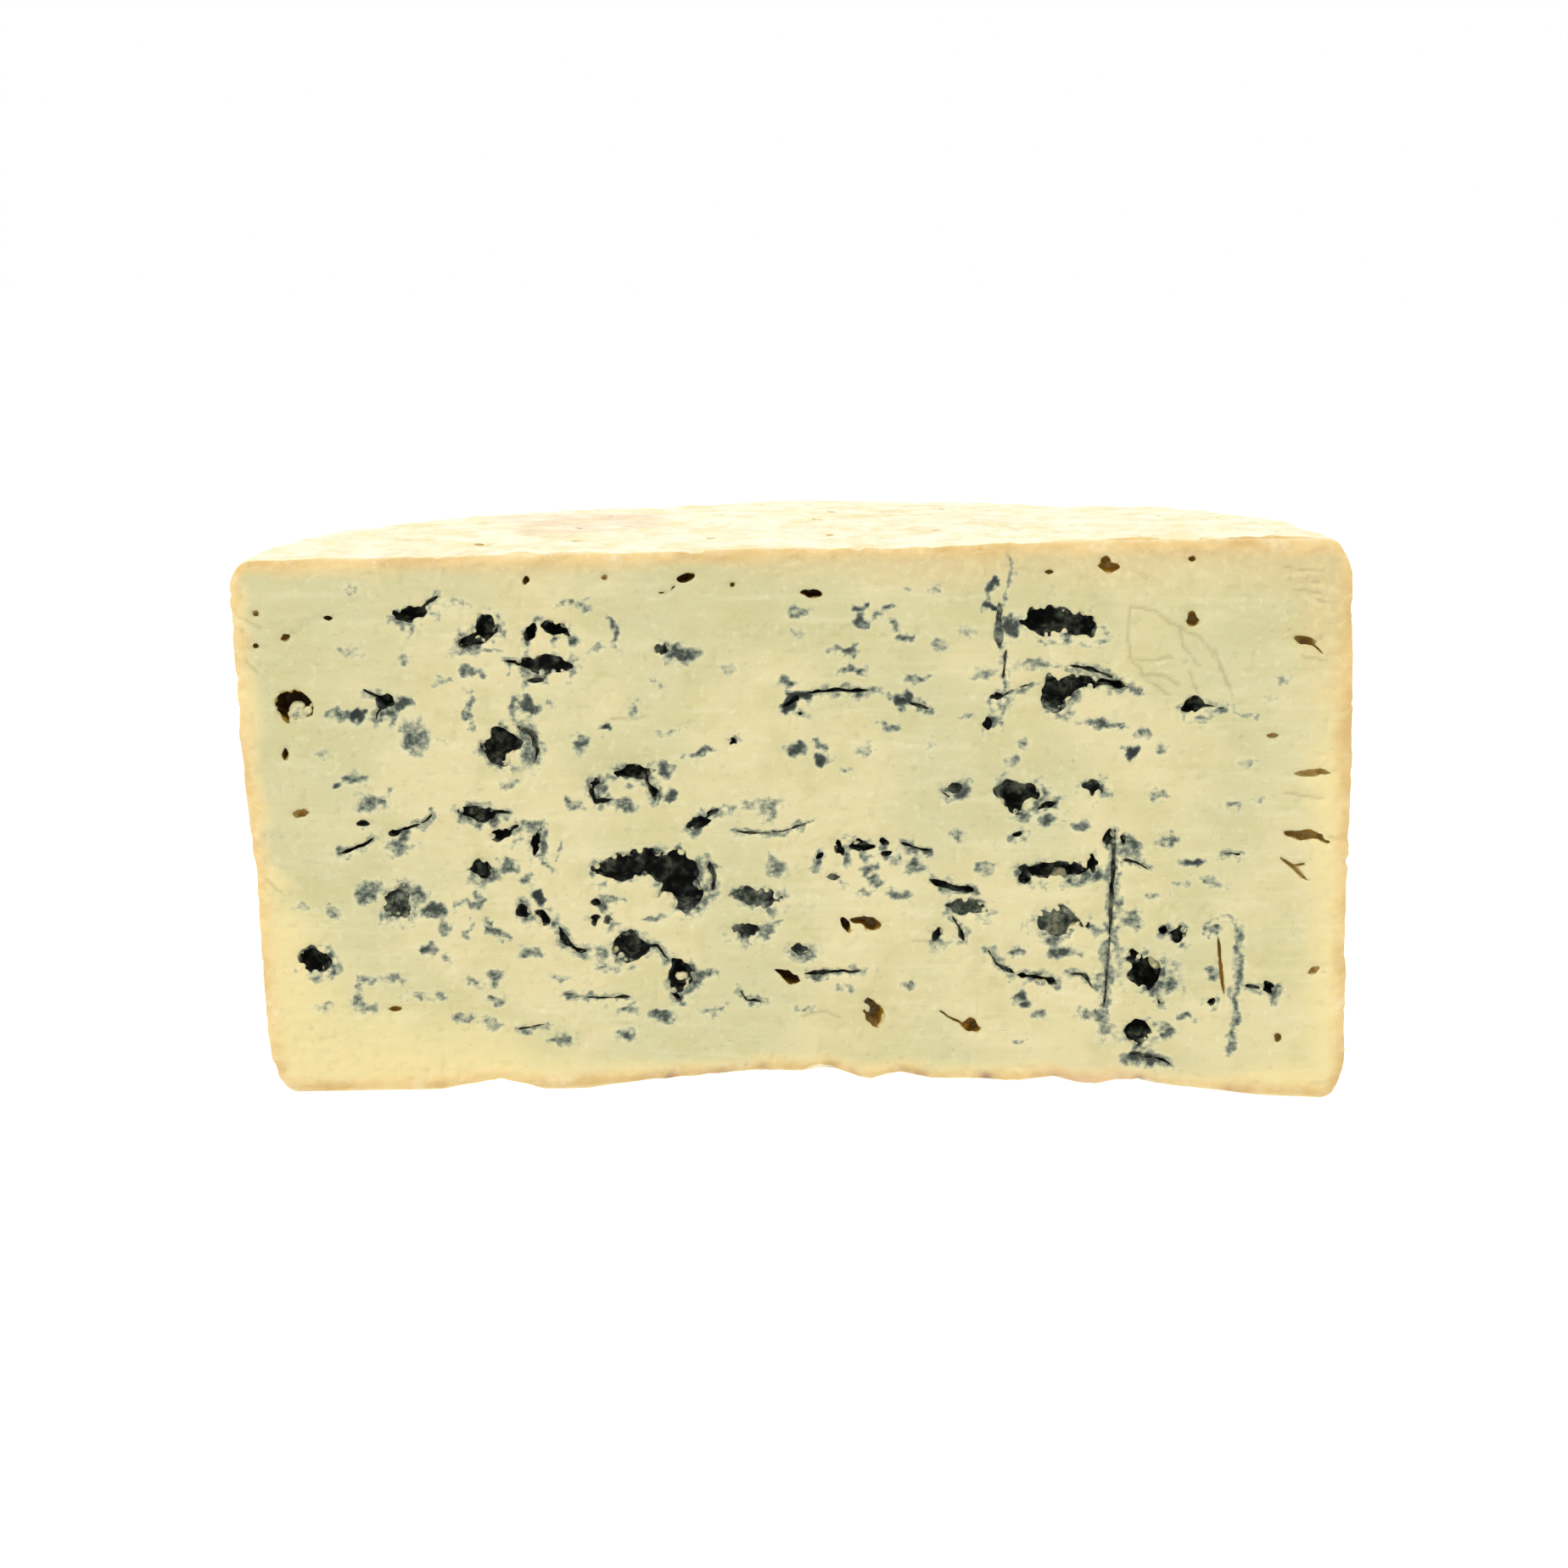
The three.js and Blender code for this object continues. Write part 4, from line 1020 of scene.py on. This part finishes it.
points[:, 1] += np.maximum(inward, -points[:, 1]) + felted
cut_mesh.vertices.foreach_set("co", to_frame(points).astype(np.float32).ravel())
cut_mesh.update()
print(f"The cut is moved in by up to {inward.max():.2f} mm, on average {inward[on_cut].mean():.2f} mm")

# %% [markdown]
# ## Loose crumbs
#
# A grain put back in the middle of an eye touches nothing, so the Boolean leaves it as a crumb of mesh that
# hangs in the air. A real one would fall out. Starting from each vertex not yet seen, the edges are followed
# until a whole island is known, and every island but the cheese is dropped.

# %% Drop loose crumbs of mesh and shade smooth
shell = bmesh.new()
shell.from_mesh(cut_mesh)
seen = set()
loose = []
for start in shell.verts:
    if start in seen:
        continue
    island = {start}
    edge_of_island = [start]
    while edge_of_island:
        here = edge_of_island.pop()
        for edge in here.link_edges:
            there = edge.other_vert(here)
            if there not in island:
                island.add(there)
                edge_of_island.append(there)
    seen |= island
    if len(island) < len(shell.verts) / 2:
        loose += island
bmesh.ops.delete(shell, geom=loose, context="VERTS")
for face in shell.faces:
    face.smooth = True
shell.to_mesh(cut_mesh)
shell.free()
print("Dropped", len(loose), "loose vertices")

# %% [markdown]
# ## One map of all the faces
#
# A map named `OFBake` lays every face out on one square picture. The cut is what everyone looks at, so it
# gets half of the picture. The floors of the eyes, and their hidden undersides, get two small maps of their
# own, because they would fall on top of the cut in its view. The wall is unrolled, and the two round ends are
# laid flat.

# %% Lay the faces out
FLAT = 0.75  # a face whose normal points further up or down than this is on an end
face_count = len(cut_mesh.polygons)
centres = np.empty(face_count * 3, dtype=np.float32)
normals = np.empty(face_count * 3, dtype=np.float32)
cut_mesh.polygons.foreach_get("center", centres)
cut_mesh.polygons.foreach_get("normal", normals)
centres = to_drawing(centres.reshape(-1, 3))
normals = normals.reshape(-1, 3)
outer = (rind_depth(centres) < 1.6) & ((centres[:, 1] > 0.9) | (normals[:, 1] > -0.6))
chart = np.where(centres[:, 1] < 1.0, 0, 1)  # 0 the cut, 1 floors of eyes
chart = np.where(~outer & (normals[:, 1] >= 0), 2, chart)  # 2 undersides of eyes
side_or_end = np.where(normals[:, 2] > FLAT, 4, np.where(normals[:, 2] < -FLAT, 5, 3))
chart = np.where(outer, side_or_end, chart)  # 3 the wall, 4 the top, 5 the underside

corner_vertices = np.empty(len(cut_mesh.loops), dtype=np.int32)
cut_mesh.loops.foreach_get("vertex_index", corner_vertices)
corners_per_face = np.empty(face_count, dtype=np.int32)
cut_mesh.polygons.foreach_get("loop_total", corners_per_face)
corner_chart = np.repeat(chart, corners_per_face)
places = np.empty(len(cut_mesh.vertices) * 3, dtype=np.float32)
cut_mesh.vertices.foreach_get("co", places)
corner = to_drawing(places.reshape(-1, 3))[corner_vertices]
turn = np.arctan2(np.maximum(corner[:, 1], 0), corner[:, 0] - AXIS)
flat_cut = np.stack([corner[:, 0] - BLOCK_LOW[0], corner[:, 2]], axis=-1)
unrolled = np.stack([(math.pi - turn) * FOOT_RADIUS, corner[:, 2]], axis=-1)
flat_end = np.stack([corner[:, 0] - BLOCK_LOW[0], np.maximum(corner[:, 1], 0)], axis=-1)
CHEESE_WIDE = 206  # millimetres, with a little room to spare
WALL_LONG = 310
# For each chart: its coordinates in millimetres, where its corner goes on the picture, and its scale.
layout = [
    (flat_cut, (0.01, 0.485), 0.98 / CHEESE_WIDE),
    (flat_cut, (0.74, 0.25), 0.25 / CHEESE_WIDE),
    (flat_cut, (0.74, 0.385), 0.18 / CHEESE_WIDE),
    (unrolled, (0.01, 0.25), 0.70 / WALL_LONG),
    (flat_end, (0.01, 0.01), 0.47 / CHEESE_WIDE),
    (flat_end, (0.51, 0.01), 0.47 / CHEESE_WIDE),
]
uv = np.zeros((len(corner), 2), dtype=np.float32)
for number, (flat, origin, scale) in enumerate(layout):
    uv = np.where((corner_chart == number)[:, None], np.array(origin) + flat * scale, uv)
cut_mesh.uv_layers.new(name="OFBake")
cut_mesh.uv_layers["OFBake"].data.foreach_set("uv", uv.astype(np.float32).ravel())
print("Faces on each chart:", np.bincount(chart, minlength=6).tolist())

# %% [markdown]
# ## Building the material
#
# One material covers the whole cheese, because paste, mould and rind run into one another with no seam. It is
# built up in layers: the paste first, then the mould on it, then the rind. `add` makes any node, with its
# links and its settings, and turns every hex colour to linear light through `linear`. The helpers after it
# are a cheese's own: a cloudy pattern at a real size, patches of colour, a tint, and an edge broken up.

# %% Node and colour helpers
def linear(hex_colour):
    """An sRGB colour such as "#E6DBA6" as linear red, green, blue and alpha."""
    shares = [int(hex_colour[i : i + 2], 16) / 255 for i in (1, 3, 5)]
    return [s / 12.92 if s <= 0.04045 else ((s + 0.055) / 1.055) ** 2.4 for s in shares] + [1.0]


blue_cheese = bpy.data.materials.new("blue_cheese_paste_mould_and_rind")
blue_cheese.use_nodes = True
tree = blue_cheese.node_tree
tree.nodes.clear()


def add(kind, links=(), output=0, **settings):
    """Adds a node and gives back one of its outputs.

    `links` go to its inputs, in their order or by name: a number, a hex colour or another node's output.
    """
    node = tree.nodes.new("ShaderNode" + kind)
    for name, value in settings.items():
        setattr(node, name, value)
    for name, value in (links if isinstance(links, dict) else dict(enumerate(links))).items():
        if isinstance(value, bpy.types.NodeSocket):
            tree.links.new(value, node.inputs[name])
        else:
            node.inputs[name].default_value = linear(value) if isinstance(value, str) else value
    return node.outputs[output] if len(node.outputs) else None


SMOOTH = {"interpolation_type": "SMOOTHSTEP"}  # for a range that eases in and out
COLOURS = {"output": 2, "data_type": "RGBA"}  # for a mix of colours, whose inputs are 0, 6 and 7
object_place = add("TexCoord", output="Object")
print("Paste colour in linear light:", [round(c, 3) for c in linear("#E6DBA6")])

# %% [markdown]
# ### Patterns and layers
#
# A pattern's scale is worked out from a real size, so that curd grain stays 1.6 mm on any cheese. Each layer
# of colour then goes over the ones before it, either in patches where a pattern is strong, or by an amount
# that the mesh carries.

# %% Patterns and layers
def cloudy(size_mm, detail=3.0, stretch=(1, 1, 1), roughness=0.55):
    """Noise whose patches are about `size_mm` across, times `stretch` along each axis."""
    scaled = add("VectorMath", [object_place, stretch], operation="DIVIDE")
    scale = 1 / (size_mm * MM)
    return add("TexNoise", {"Vector": scaled, "Scale": scale, "Detail": detail, "Roughness": roughness})


def patches(under, pattern, span, colour, share=1.0):
    """Lays a colour over another in patches: not at all at the span's start, by `share` at its end."""
    strength = add("MapRange", [pattern, *span, 0.0, share], **SMOOTH)
    return add("Mix", {0: strength, 6: under, 7: colour}, **COLOURS)


def tint(under, amount, colour, share):
    """Lays a colour over another by an amount, times `share`."""
    strength = add("Math", [amount, share], operation="MULTIPLY")
    return add("Mix", {0: strength, 6: under, 7: colour}, **COLOURS)


def broken_up(value, pattern, amount):
    """A value moved up and down by a pattern, by up to half of `amount`."""
    centred = add("Math", [pattern, 0.5], operation="SUBTRACT")
    moved = add("Math", [centred, amount], operation="MULTIPLY")
    return add("Math", [value, moved], operation="ADD")


print("Curd grain of 1.6 mm is a noise scale of", 1 / (1.6 * MM))

# %% [markdown]
# ### Paste
#
# The paste is a semi-soft curd, white to pale greenish yellow, with a damp, waxy gleam. It is cooler and
# greener in the middle, where the mould has worked longest, and warmer towards the rind. The blade's drag
# shows as faint level streaks. Light goes a few millimetres in and comes out warmer, so the edges of the
# eyes glow. The colours here are darker than the paste looks, because strong soft light brightens them.

# %% The paste's colour
rind_share = add("Attribute", output="Fac", attribute_name="rind")
mould_share = add("Attribute", output="Fac", attribute_name="mould")
amber_share = add("Attribute", output="Fac", attribute_name="amber")
eye_depth = add("Attribute", output="Fac", attribute_name="eye_depth")

paste = patches("#BAB489", cloudy(34, detail=2), (0.40, 0.60), "#C6BB8F")
paste = patches(paste, cloudy(9, detail=3), (0.42, 0.68), "#B3AD7B", 0.5)
streaks = cloudy(2.4, detail=4, stretch=(6, 2, 0.9), roughness=0.6)
paste = patches(paste, streaks, (0.50, 0.74), "#D2CBA6", 0.30)
paste = patches(paste, streaks, (0.46, 0.26), "#AFA672", 0.24)
curd_grain = cloudy(1.6, detail=4)
paste = patches(paste, curd_grain, (0.56, 0.72), "#D3CEAE", 0.30)
paste = patches(paste, cloudy(4.5, detail=5, roughness=0.7), (0.58, 0.74), "#A9A67F", 0.30)
print("The fresh paste takes", len(tree.nodes), "nodes")

# %% [markdown]
# ### Dried, creased and amber paste
#
# Near the rind the paste has dried, and it is beige at the top. It is paler right beside the mould, and a
# crease is painted darker, as painted shade. The bare walls near the rind turn amber, and deeper in an eye
# they are painted brown, as painted shade in the hollow.

# %% Dried, creased and amber paste
beige_share = add("Attribute", output="Fac", attribute_name="beige")
dried = add("Mix", {0: beige_share, 6: "#D4C38A", 7: "#C0AC7B"}, **COLOURS)
dried = patches(dried, curd_grain, (0.44, 0.66), "#D2C48F", 0.5)
dry_edge_share = add("Attribute", output="Fac", attribute_name="dry_edge")
paste = tint(paste, dry_edge_share, dried, 0.85)
beside_mould = add("MapRange", [mould_share, 0.0, 0.25], **SMOOTH)
paste = tint(paste, beside_mould, "#D2CCA4", 0.28)
# A crease is painted darker: painted shade in the crease.
crease_shade_share = add("Attribute", output="Fac", attribute_name="crease")
paste = tint(paste, crease_shade_share, "#9C8F62", 0.42)
paste = add("Mix", {0: amber_share, 6: paste, 7: "#BC9E4C"}, **COLOURS)
# Deeper in a bare eye the amber is painted brown, then dark brown: painted shade in the hollow.
for span, colour in (((0.5, 1.8), "#98701C"), ((1.5, 3.6), "#4C360E")):
    deeper_painted_shade = add("MapRange", [eye_depth, *span], **SMOOTH)
    paste = tint(paste, amber_share, colour, deeper_painted_shade)
print("With its dried edge and amber walls,", len(tree.nodes), "nodes")

# %% [markdown]
# ### Mould
#
# The mould is a felt of blue-green threads. A thin growth is grey-blue and lets the paste show through, a
# thick one is nearly black. The mesh carries how much of it there is, and fine noise breaks that into
# threads and spots, about three quarters of a millimetre across, which is coarser than real threads but
# as fine as shows. Deep in an eye the thickest mould is darkened further, to black: partly its own colour,
# partly painted shade.

# %% The mould's colour
threads = cloudy(0.75, detail=4, stretch=(1.3, 1, 1), roughness=0.58)
tufts = cloudy(1.9, detail=3)
broken = broken_up(mould_share, threads, 1.2)
broken = broken_up(broken, tufts, 0.7)
has_mould = add("MapRange", [mould_share, 0.02, 0.16], **SMOOTH)
growths = []
for span in ((0.10, 0.50), (0.36, 0.66), (0.56, 0.90)):
    growth = add("MapRange", [broken, *span], **SMOOTH)
    growths.append(add("Math", [growth, has_mould], operation="MULTIPLY"))
coloured = paste
for growth, colour, share in zip(growths, ("#888E7A", "#5C665C", "#262E28"), (0.66, 0.74, 0.88)):
    coloured = tint(coloured, growth, colour, share)
cores = add("MapRange", [broken, 0.92, 1.25, 0, 0.8], **SMOOTH)
coloured = tint(coloured, cores, "#0E120F", has_mould)
thickest = add("MapRange", [mould_share, 0.66, 0.92], **SMOOTH)
# Deep inside an eye or needle hole the thickest mould is darkened to black: partly the mould's own colour,
# partly painted shade in the depth.
painted_shade_deep_in_eye = add("MapRange", [eye_depth, 0.15, 0.9], **SMOOTH)
coloured = tint(coloured, thickest, "#060706", painted_shade_deep_in_eye)
print("With the mould,", len(tree.nodes), "nodes")

# %% [markdown]
# ### Rind
#
# The rind is paste that has dried and been washed and turned: a matt skin, ochre where it is dense and paler
# where it is dusty, with a few pinkish bloom patches and grey-brown specks. The end faces have lain against
# boards, so they are paler and cleaner than the round side.

# %% The rind's colour
facing = add("SeparateXYZ", [add("NewGeometry", output="Normal")], output="Z")
steepness = add("Math", [facing, 0], operation="ABSOLUTE")
end_face = add("MapRange", [steepness, 0.45, 0.9], **SMOOTH)
ochre = patches("#D2B880", cloudy(16, detail=5, roughness=0.65), (0.38, 0.64), "#C2A368")
dusty = patches("#E2DCC2", cloudy(8, detail=6, roughness=0.72), (0.38, 0.66), "#D3C799")
rind = add("Mix", {0: end_face, 6: ochre, 7: dusty}, **COLOURS)
rind_grain = cloudy(2.6, detail=6, roughness=0.72)
rind_folds = cloudy(3.4, detail=5, stretch=(1.6, 1.6, 0.8), roughness=0.6)
rind = patches(rind, rind_folds, (0.44, 0.28), "#AE915B", 0.26)
# The hollows of the wrinkles are painted darker, as painted shade, less on the ends.
wrinkle_shade_share = add("Attribute", output="Fac", attribute_name="wrinkle_shade")
less_on_ends = add("MapRange", [end_face, 0, 1, 0.36, 0.14], **SMOOTH)
rind = tint(rind, wrinkle_shade_share, "#A88650", less_on_ends)
# The high spots of the wrinkles are painted paler, as painted highlight.
wrinkle_highlight_share = add("Attribute", output="Fac", attribute_name="wrinkle_highlight")
rind = tint(rind, wrinkle_highlight_share, "#E2D6AE", 0.26)
rind = patches(rind, cloudy(6, detail=6, roughness=0.75), (0.50, 0.74), "#DDD3B0", 0.55)
bloom_share = add("Attribute", output="Fac", attribute_name="bloom")
rind = tint(rind, bloom_share, "#C8A38E", 0.55)
specks = add("MapRange", [rind_grain, 0.60, 0.76, 0, 0.42], **SMOOTH)
few_on_ends = add("MapRange", [end_face, 0, 1, 1, 0.25], **SMOOTH)
rind = tint(rind, specks, "#9C7C54", few_on_ends)
rind = patches(rind, rind_grain, (0.40, 0.28), "#E4DCC0", 0.5)
print("The rind is mixed from", len(tree.nodes), "nodes so far")

# %% [markdown]
# ### Where the rind ends
#
# The rind has no sharp inner edge: it fades into the paste over a few millimetres, a little unevenly. The
# stains along the foot of the cut go on last, because they lie on paste and rind alike.

# %% Rind over the paste, and the stains
rind_edge = add("MapRange", [broken_up(rind_share, cloudy(2.4), 0.35), 0.12, 0.90], **SMOOTH)
coloured = add("Mix", {0: rind_edge, 6: coloured, 7: rind}, **COLOURS)
stain_share = add("Attribute", output="Fac", attribute_name="stain")
coloured = tint(coloured, stain_share, "#8E6C56", 0.6)
print("With the rind and the stains,", len(tree.nodes), "nodes")

# %% [markdown]
# ### Surface
#
# Fresh paste is damp, so it gleams; the mould's felt and the dry rind don't. Relief too slight for the mesh
# is bump, a few tenths of a millimetre high. Fat and water give the paste an index of refraction near 1.45.

# %% Gleam, bump and light inside
dry = add("Math", [rind_edge, growths[0]], operation="MAXIMUM")
matt = add("MapRange", [dry, 0, 1, 0.46, 0.86], **SMOOTH)
uneven = add("MapRange", [curd_grain, 0.3, 0.7, -0.05, 0.06], **SMOOTH)
roughness = add("Math", [matt, uneven], operation="ADD")

fine_grain = add("Math", [cloudy(0.5, detail=3), 0.5], operation="MULTIPLY")
drag_marks = add("Math", [streaks, 0.5], operation="MULTIPLY")
fine = add("Math", [fine_grain, drag_marks], operation="ADD")
pores = add("MapRange", [cloudy(1.3, detail=2), 0.66, 0.76, 0, -0.7], **SMOOTH)
rind_relief = cloudy(0.9, detail=4, roughness=0.7)
for pattern, amount in ((rind_folds, 2.4), (rind_grain, -1.2)):
    part = add("Math", [pattern, amount], operation="MULTIPLY")
    rind_relief = add("Math", [rind_relief, part], operation="ADD")
paste_relief = add("Math", [fine, pores], operation="ADD")
rind_relief = add("Math", [rind_relief, rind_edge], operation="MULTIPLY")
height = add("Math", [paste_relief, rind_relief], operation="ADD")
bump = add("Bump", {"Strength": 0.55, "Distance": 0.35 * MM, "Height": height})

links = {
    "Base Color": coloured,
    "Roughness": roughness,
    "IOR": 1.45,
    "Subsurface Weight": 0.35,
    "Subsurface Radius": (1.0, 0.72, 0.34),
    "Subsurface Scale": 2.2 * MM,
    "Normal": bump,
}
surface = add("BsdfPrincipled", links, subsurface_method="RANDOM_WALK")
add("OutputMaterial", {"Surface": surface})
cut_mesh.materials.clear()
cut_mesh.materials.append(blue_cheese)
print("The material has", len(tree.nodes), "nodes")

# %% [markdown]
# ## In the frame
#
# The half wheel is one piece and has no joint, so it rides on the root body and stands in for the solid.

# %% Put the half wheel in the frame
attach(cheese, "root")
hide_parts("cheese")
print("The half wheel rides on root and replaces the solid named cheese")

# %% [markdown]
# ## Table
#
# The set is a table of opal acrylic, lit from beneath as for catalogue work, so that a shadow on it stays
# pale. Opal acrylic is a white, faintly rough plastic that spreads light. It runs back out of sight under a
# white sky.

# %% Table
FLOOR_HALF = 4.0
floor_mesh = bpy.data.meshes.new("table")
corners = [(x * FLOOR_HALF, y * FLOOR_HALF, 0) for x, y in ((-1, -1), (1, -1), (1, 1), (-1, 1))]
floor_mesh.from_pydata(corners, [], [(0, 1, 2, 3)])
floor = bpy.data.objects.new("table", floor_mesh)
bpy.context.scene.collection.objects.link(floor)
opal_acrylic = bpy.data.materials.new("opal_acrylic")
opal_acrylic.use_nodes = True
acrylic = opal_acrylic.node_tree.nodes["Principled BSDF"]
acrylic.inputs["Base Color"].default_value = linear("#A8A8A6")
acrylic.inputs["Roughness"].default_value = 0.7
acrylic.inputs["Emission Color"].default_value = (1, 1, 1, 1)
acrylic.inputs["Emission Strength"].default_value = 0.9
floor_mesh.materials.append(opal_acrylic)
print("The table is", 2 * FLOOR_HALF, "m square")

# %% [markdown]
# ## Light
#
# A white sky lights the cheese softly from all round. Softened daylight from above, a little from the front
# and the left, makes the top the brightest face and gives the eyes' edges some shape.

# %% Sky and daylight
SKY_STRENGTH = 1.0
SUN_STRENGTH = 1.7
SUN_WIDTH = math.radians(24)  # a wide sun throws a soft shadow
TO_SUN = (-0.30, -0.42, 1.0)
scene = bpy.context.scene
scene.view_settings.view_transform = "Standard"
sky = bpy.data.worlds.new("white_sky")
sky.use_nodes = True
sky.node_tree.nodes["Background"].inputs["Color"].default_value = (1, 1, 1, 1)
sky.node_tree.nodes["Background"].inputs["Strength"].default_value = SKY_STRENGTH
scene.world = sky
sun = bpy.data.lights.new("softened_daylight", "SUN")
sun.energy = SUN_STRENGTH
sun.angle = SUN_WIDTH
holder = bpy.data.objects.new("softened_daylight", sun)
holder.rotation_euler = (-Vector(TO_SUN)).to_track_quat("-Z", "Y").to_euler()
scene.collection.objects.link(holder)
print("The sun is", round(math.degrees(SUN_WIDTH)), "degrees wide")

# %% [markdown]
# ## Camera
#
# The camera stands half a metre off, square to the cut and about eleven degrees above it, so that a strip of
# the top shows. It is turned by a third of a degree, as a hand-held one is.

# %% Camera
EYE = np.array([0.0, -520.0, 163.0])  # on the drawing: across, in front of the cut, up
AIM = np.array([0.5, 0.0, 58.5])
ROLL = math.radians(0.35)
LENS_MM = 67.8
SENSOR_MM = 36
view = bpy.data.cameras.new("camera")
view.lens = LENS_MM
view.sensor_width = SENSOR_MM
view.clip_start = 0.01
camera = bpy.data.objects.new("camera", view)
eye, aim = (Vector(to_frame(p)) for p in (EYE, AIM))
look = (aim - eye).to_track_quat("-Z", "Y").to_matrix() @ Matrix.Rotation(ROLL, 3, "Z")
camera.matrix_world = Matrix.Translation(eye) @ look.to_4x4()
scene.collection.objects.link(camera)
scene.camera = camera
print(f"The camera is {(aim - eye).length * 1000:.0f} mm from its aim")

# %% Finish
bpy.context.view_layer.update()
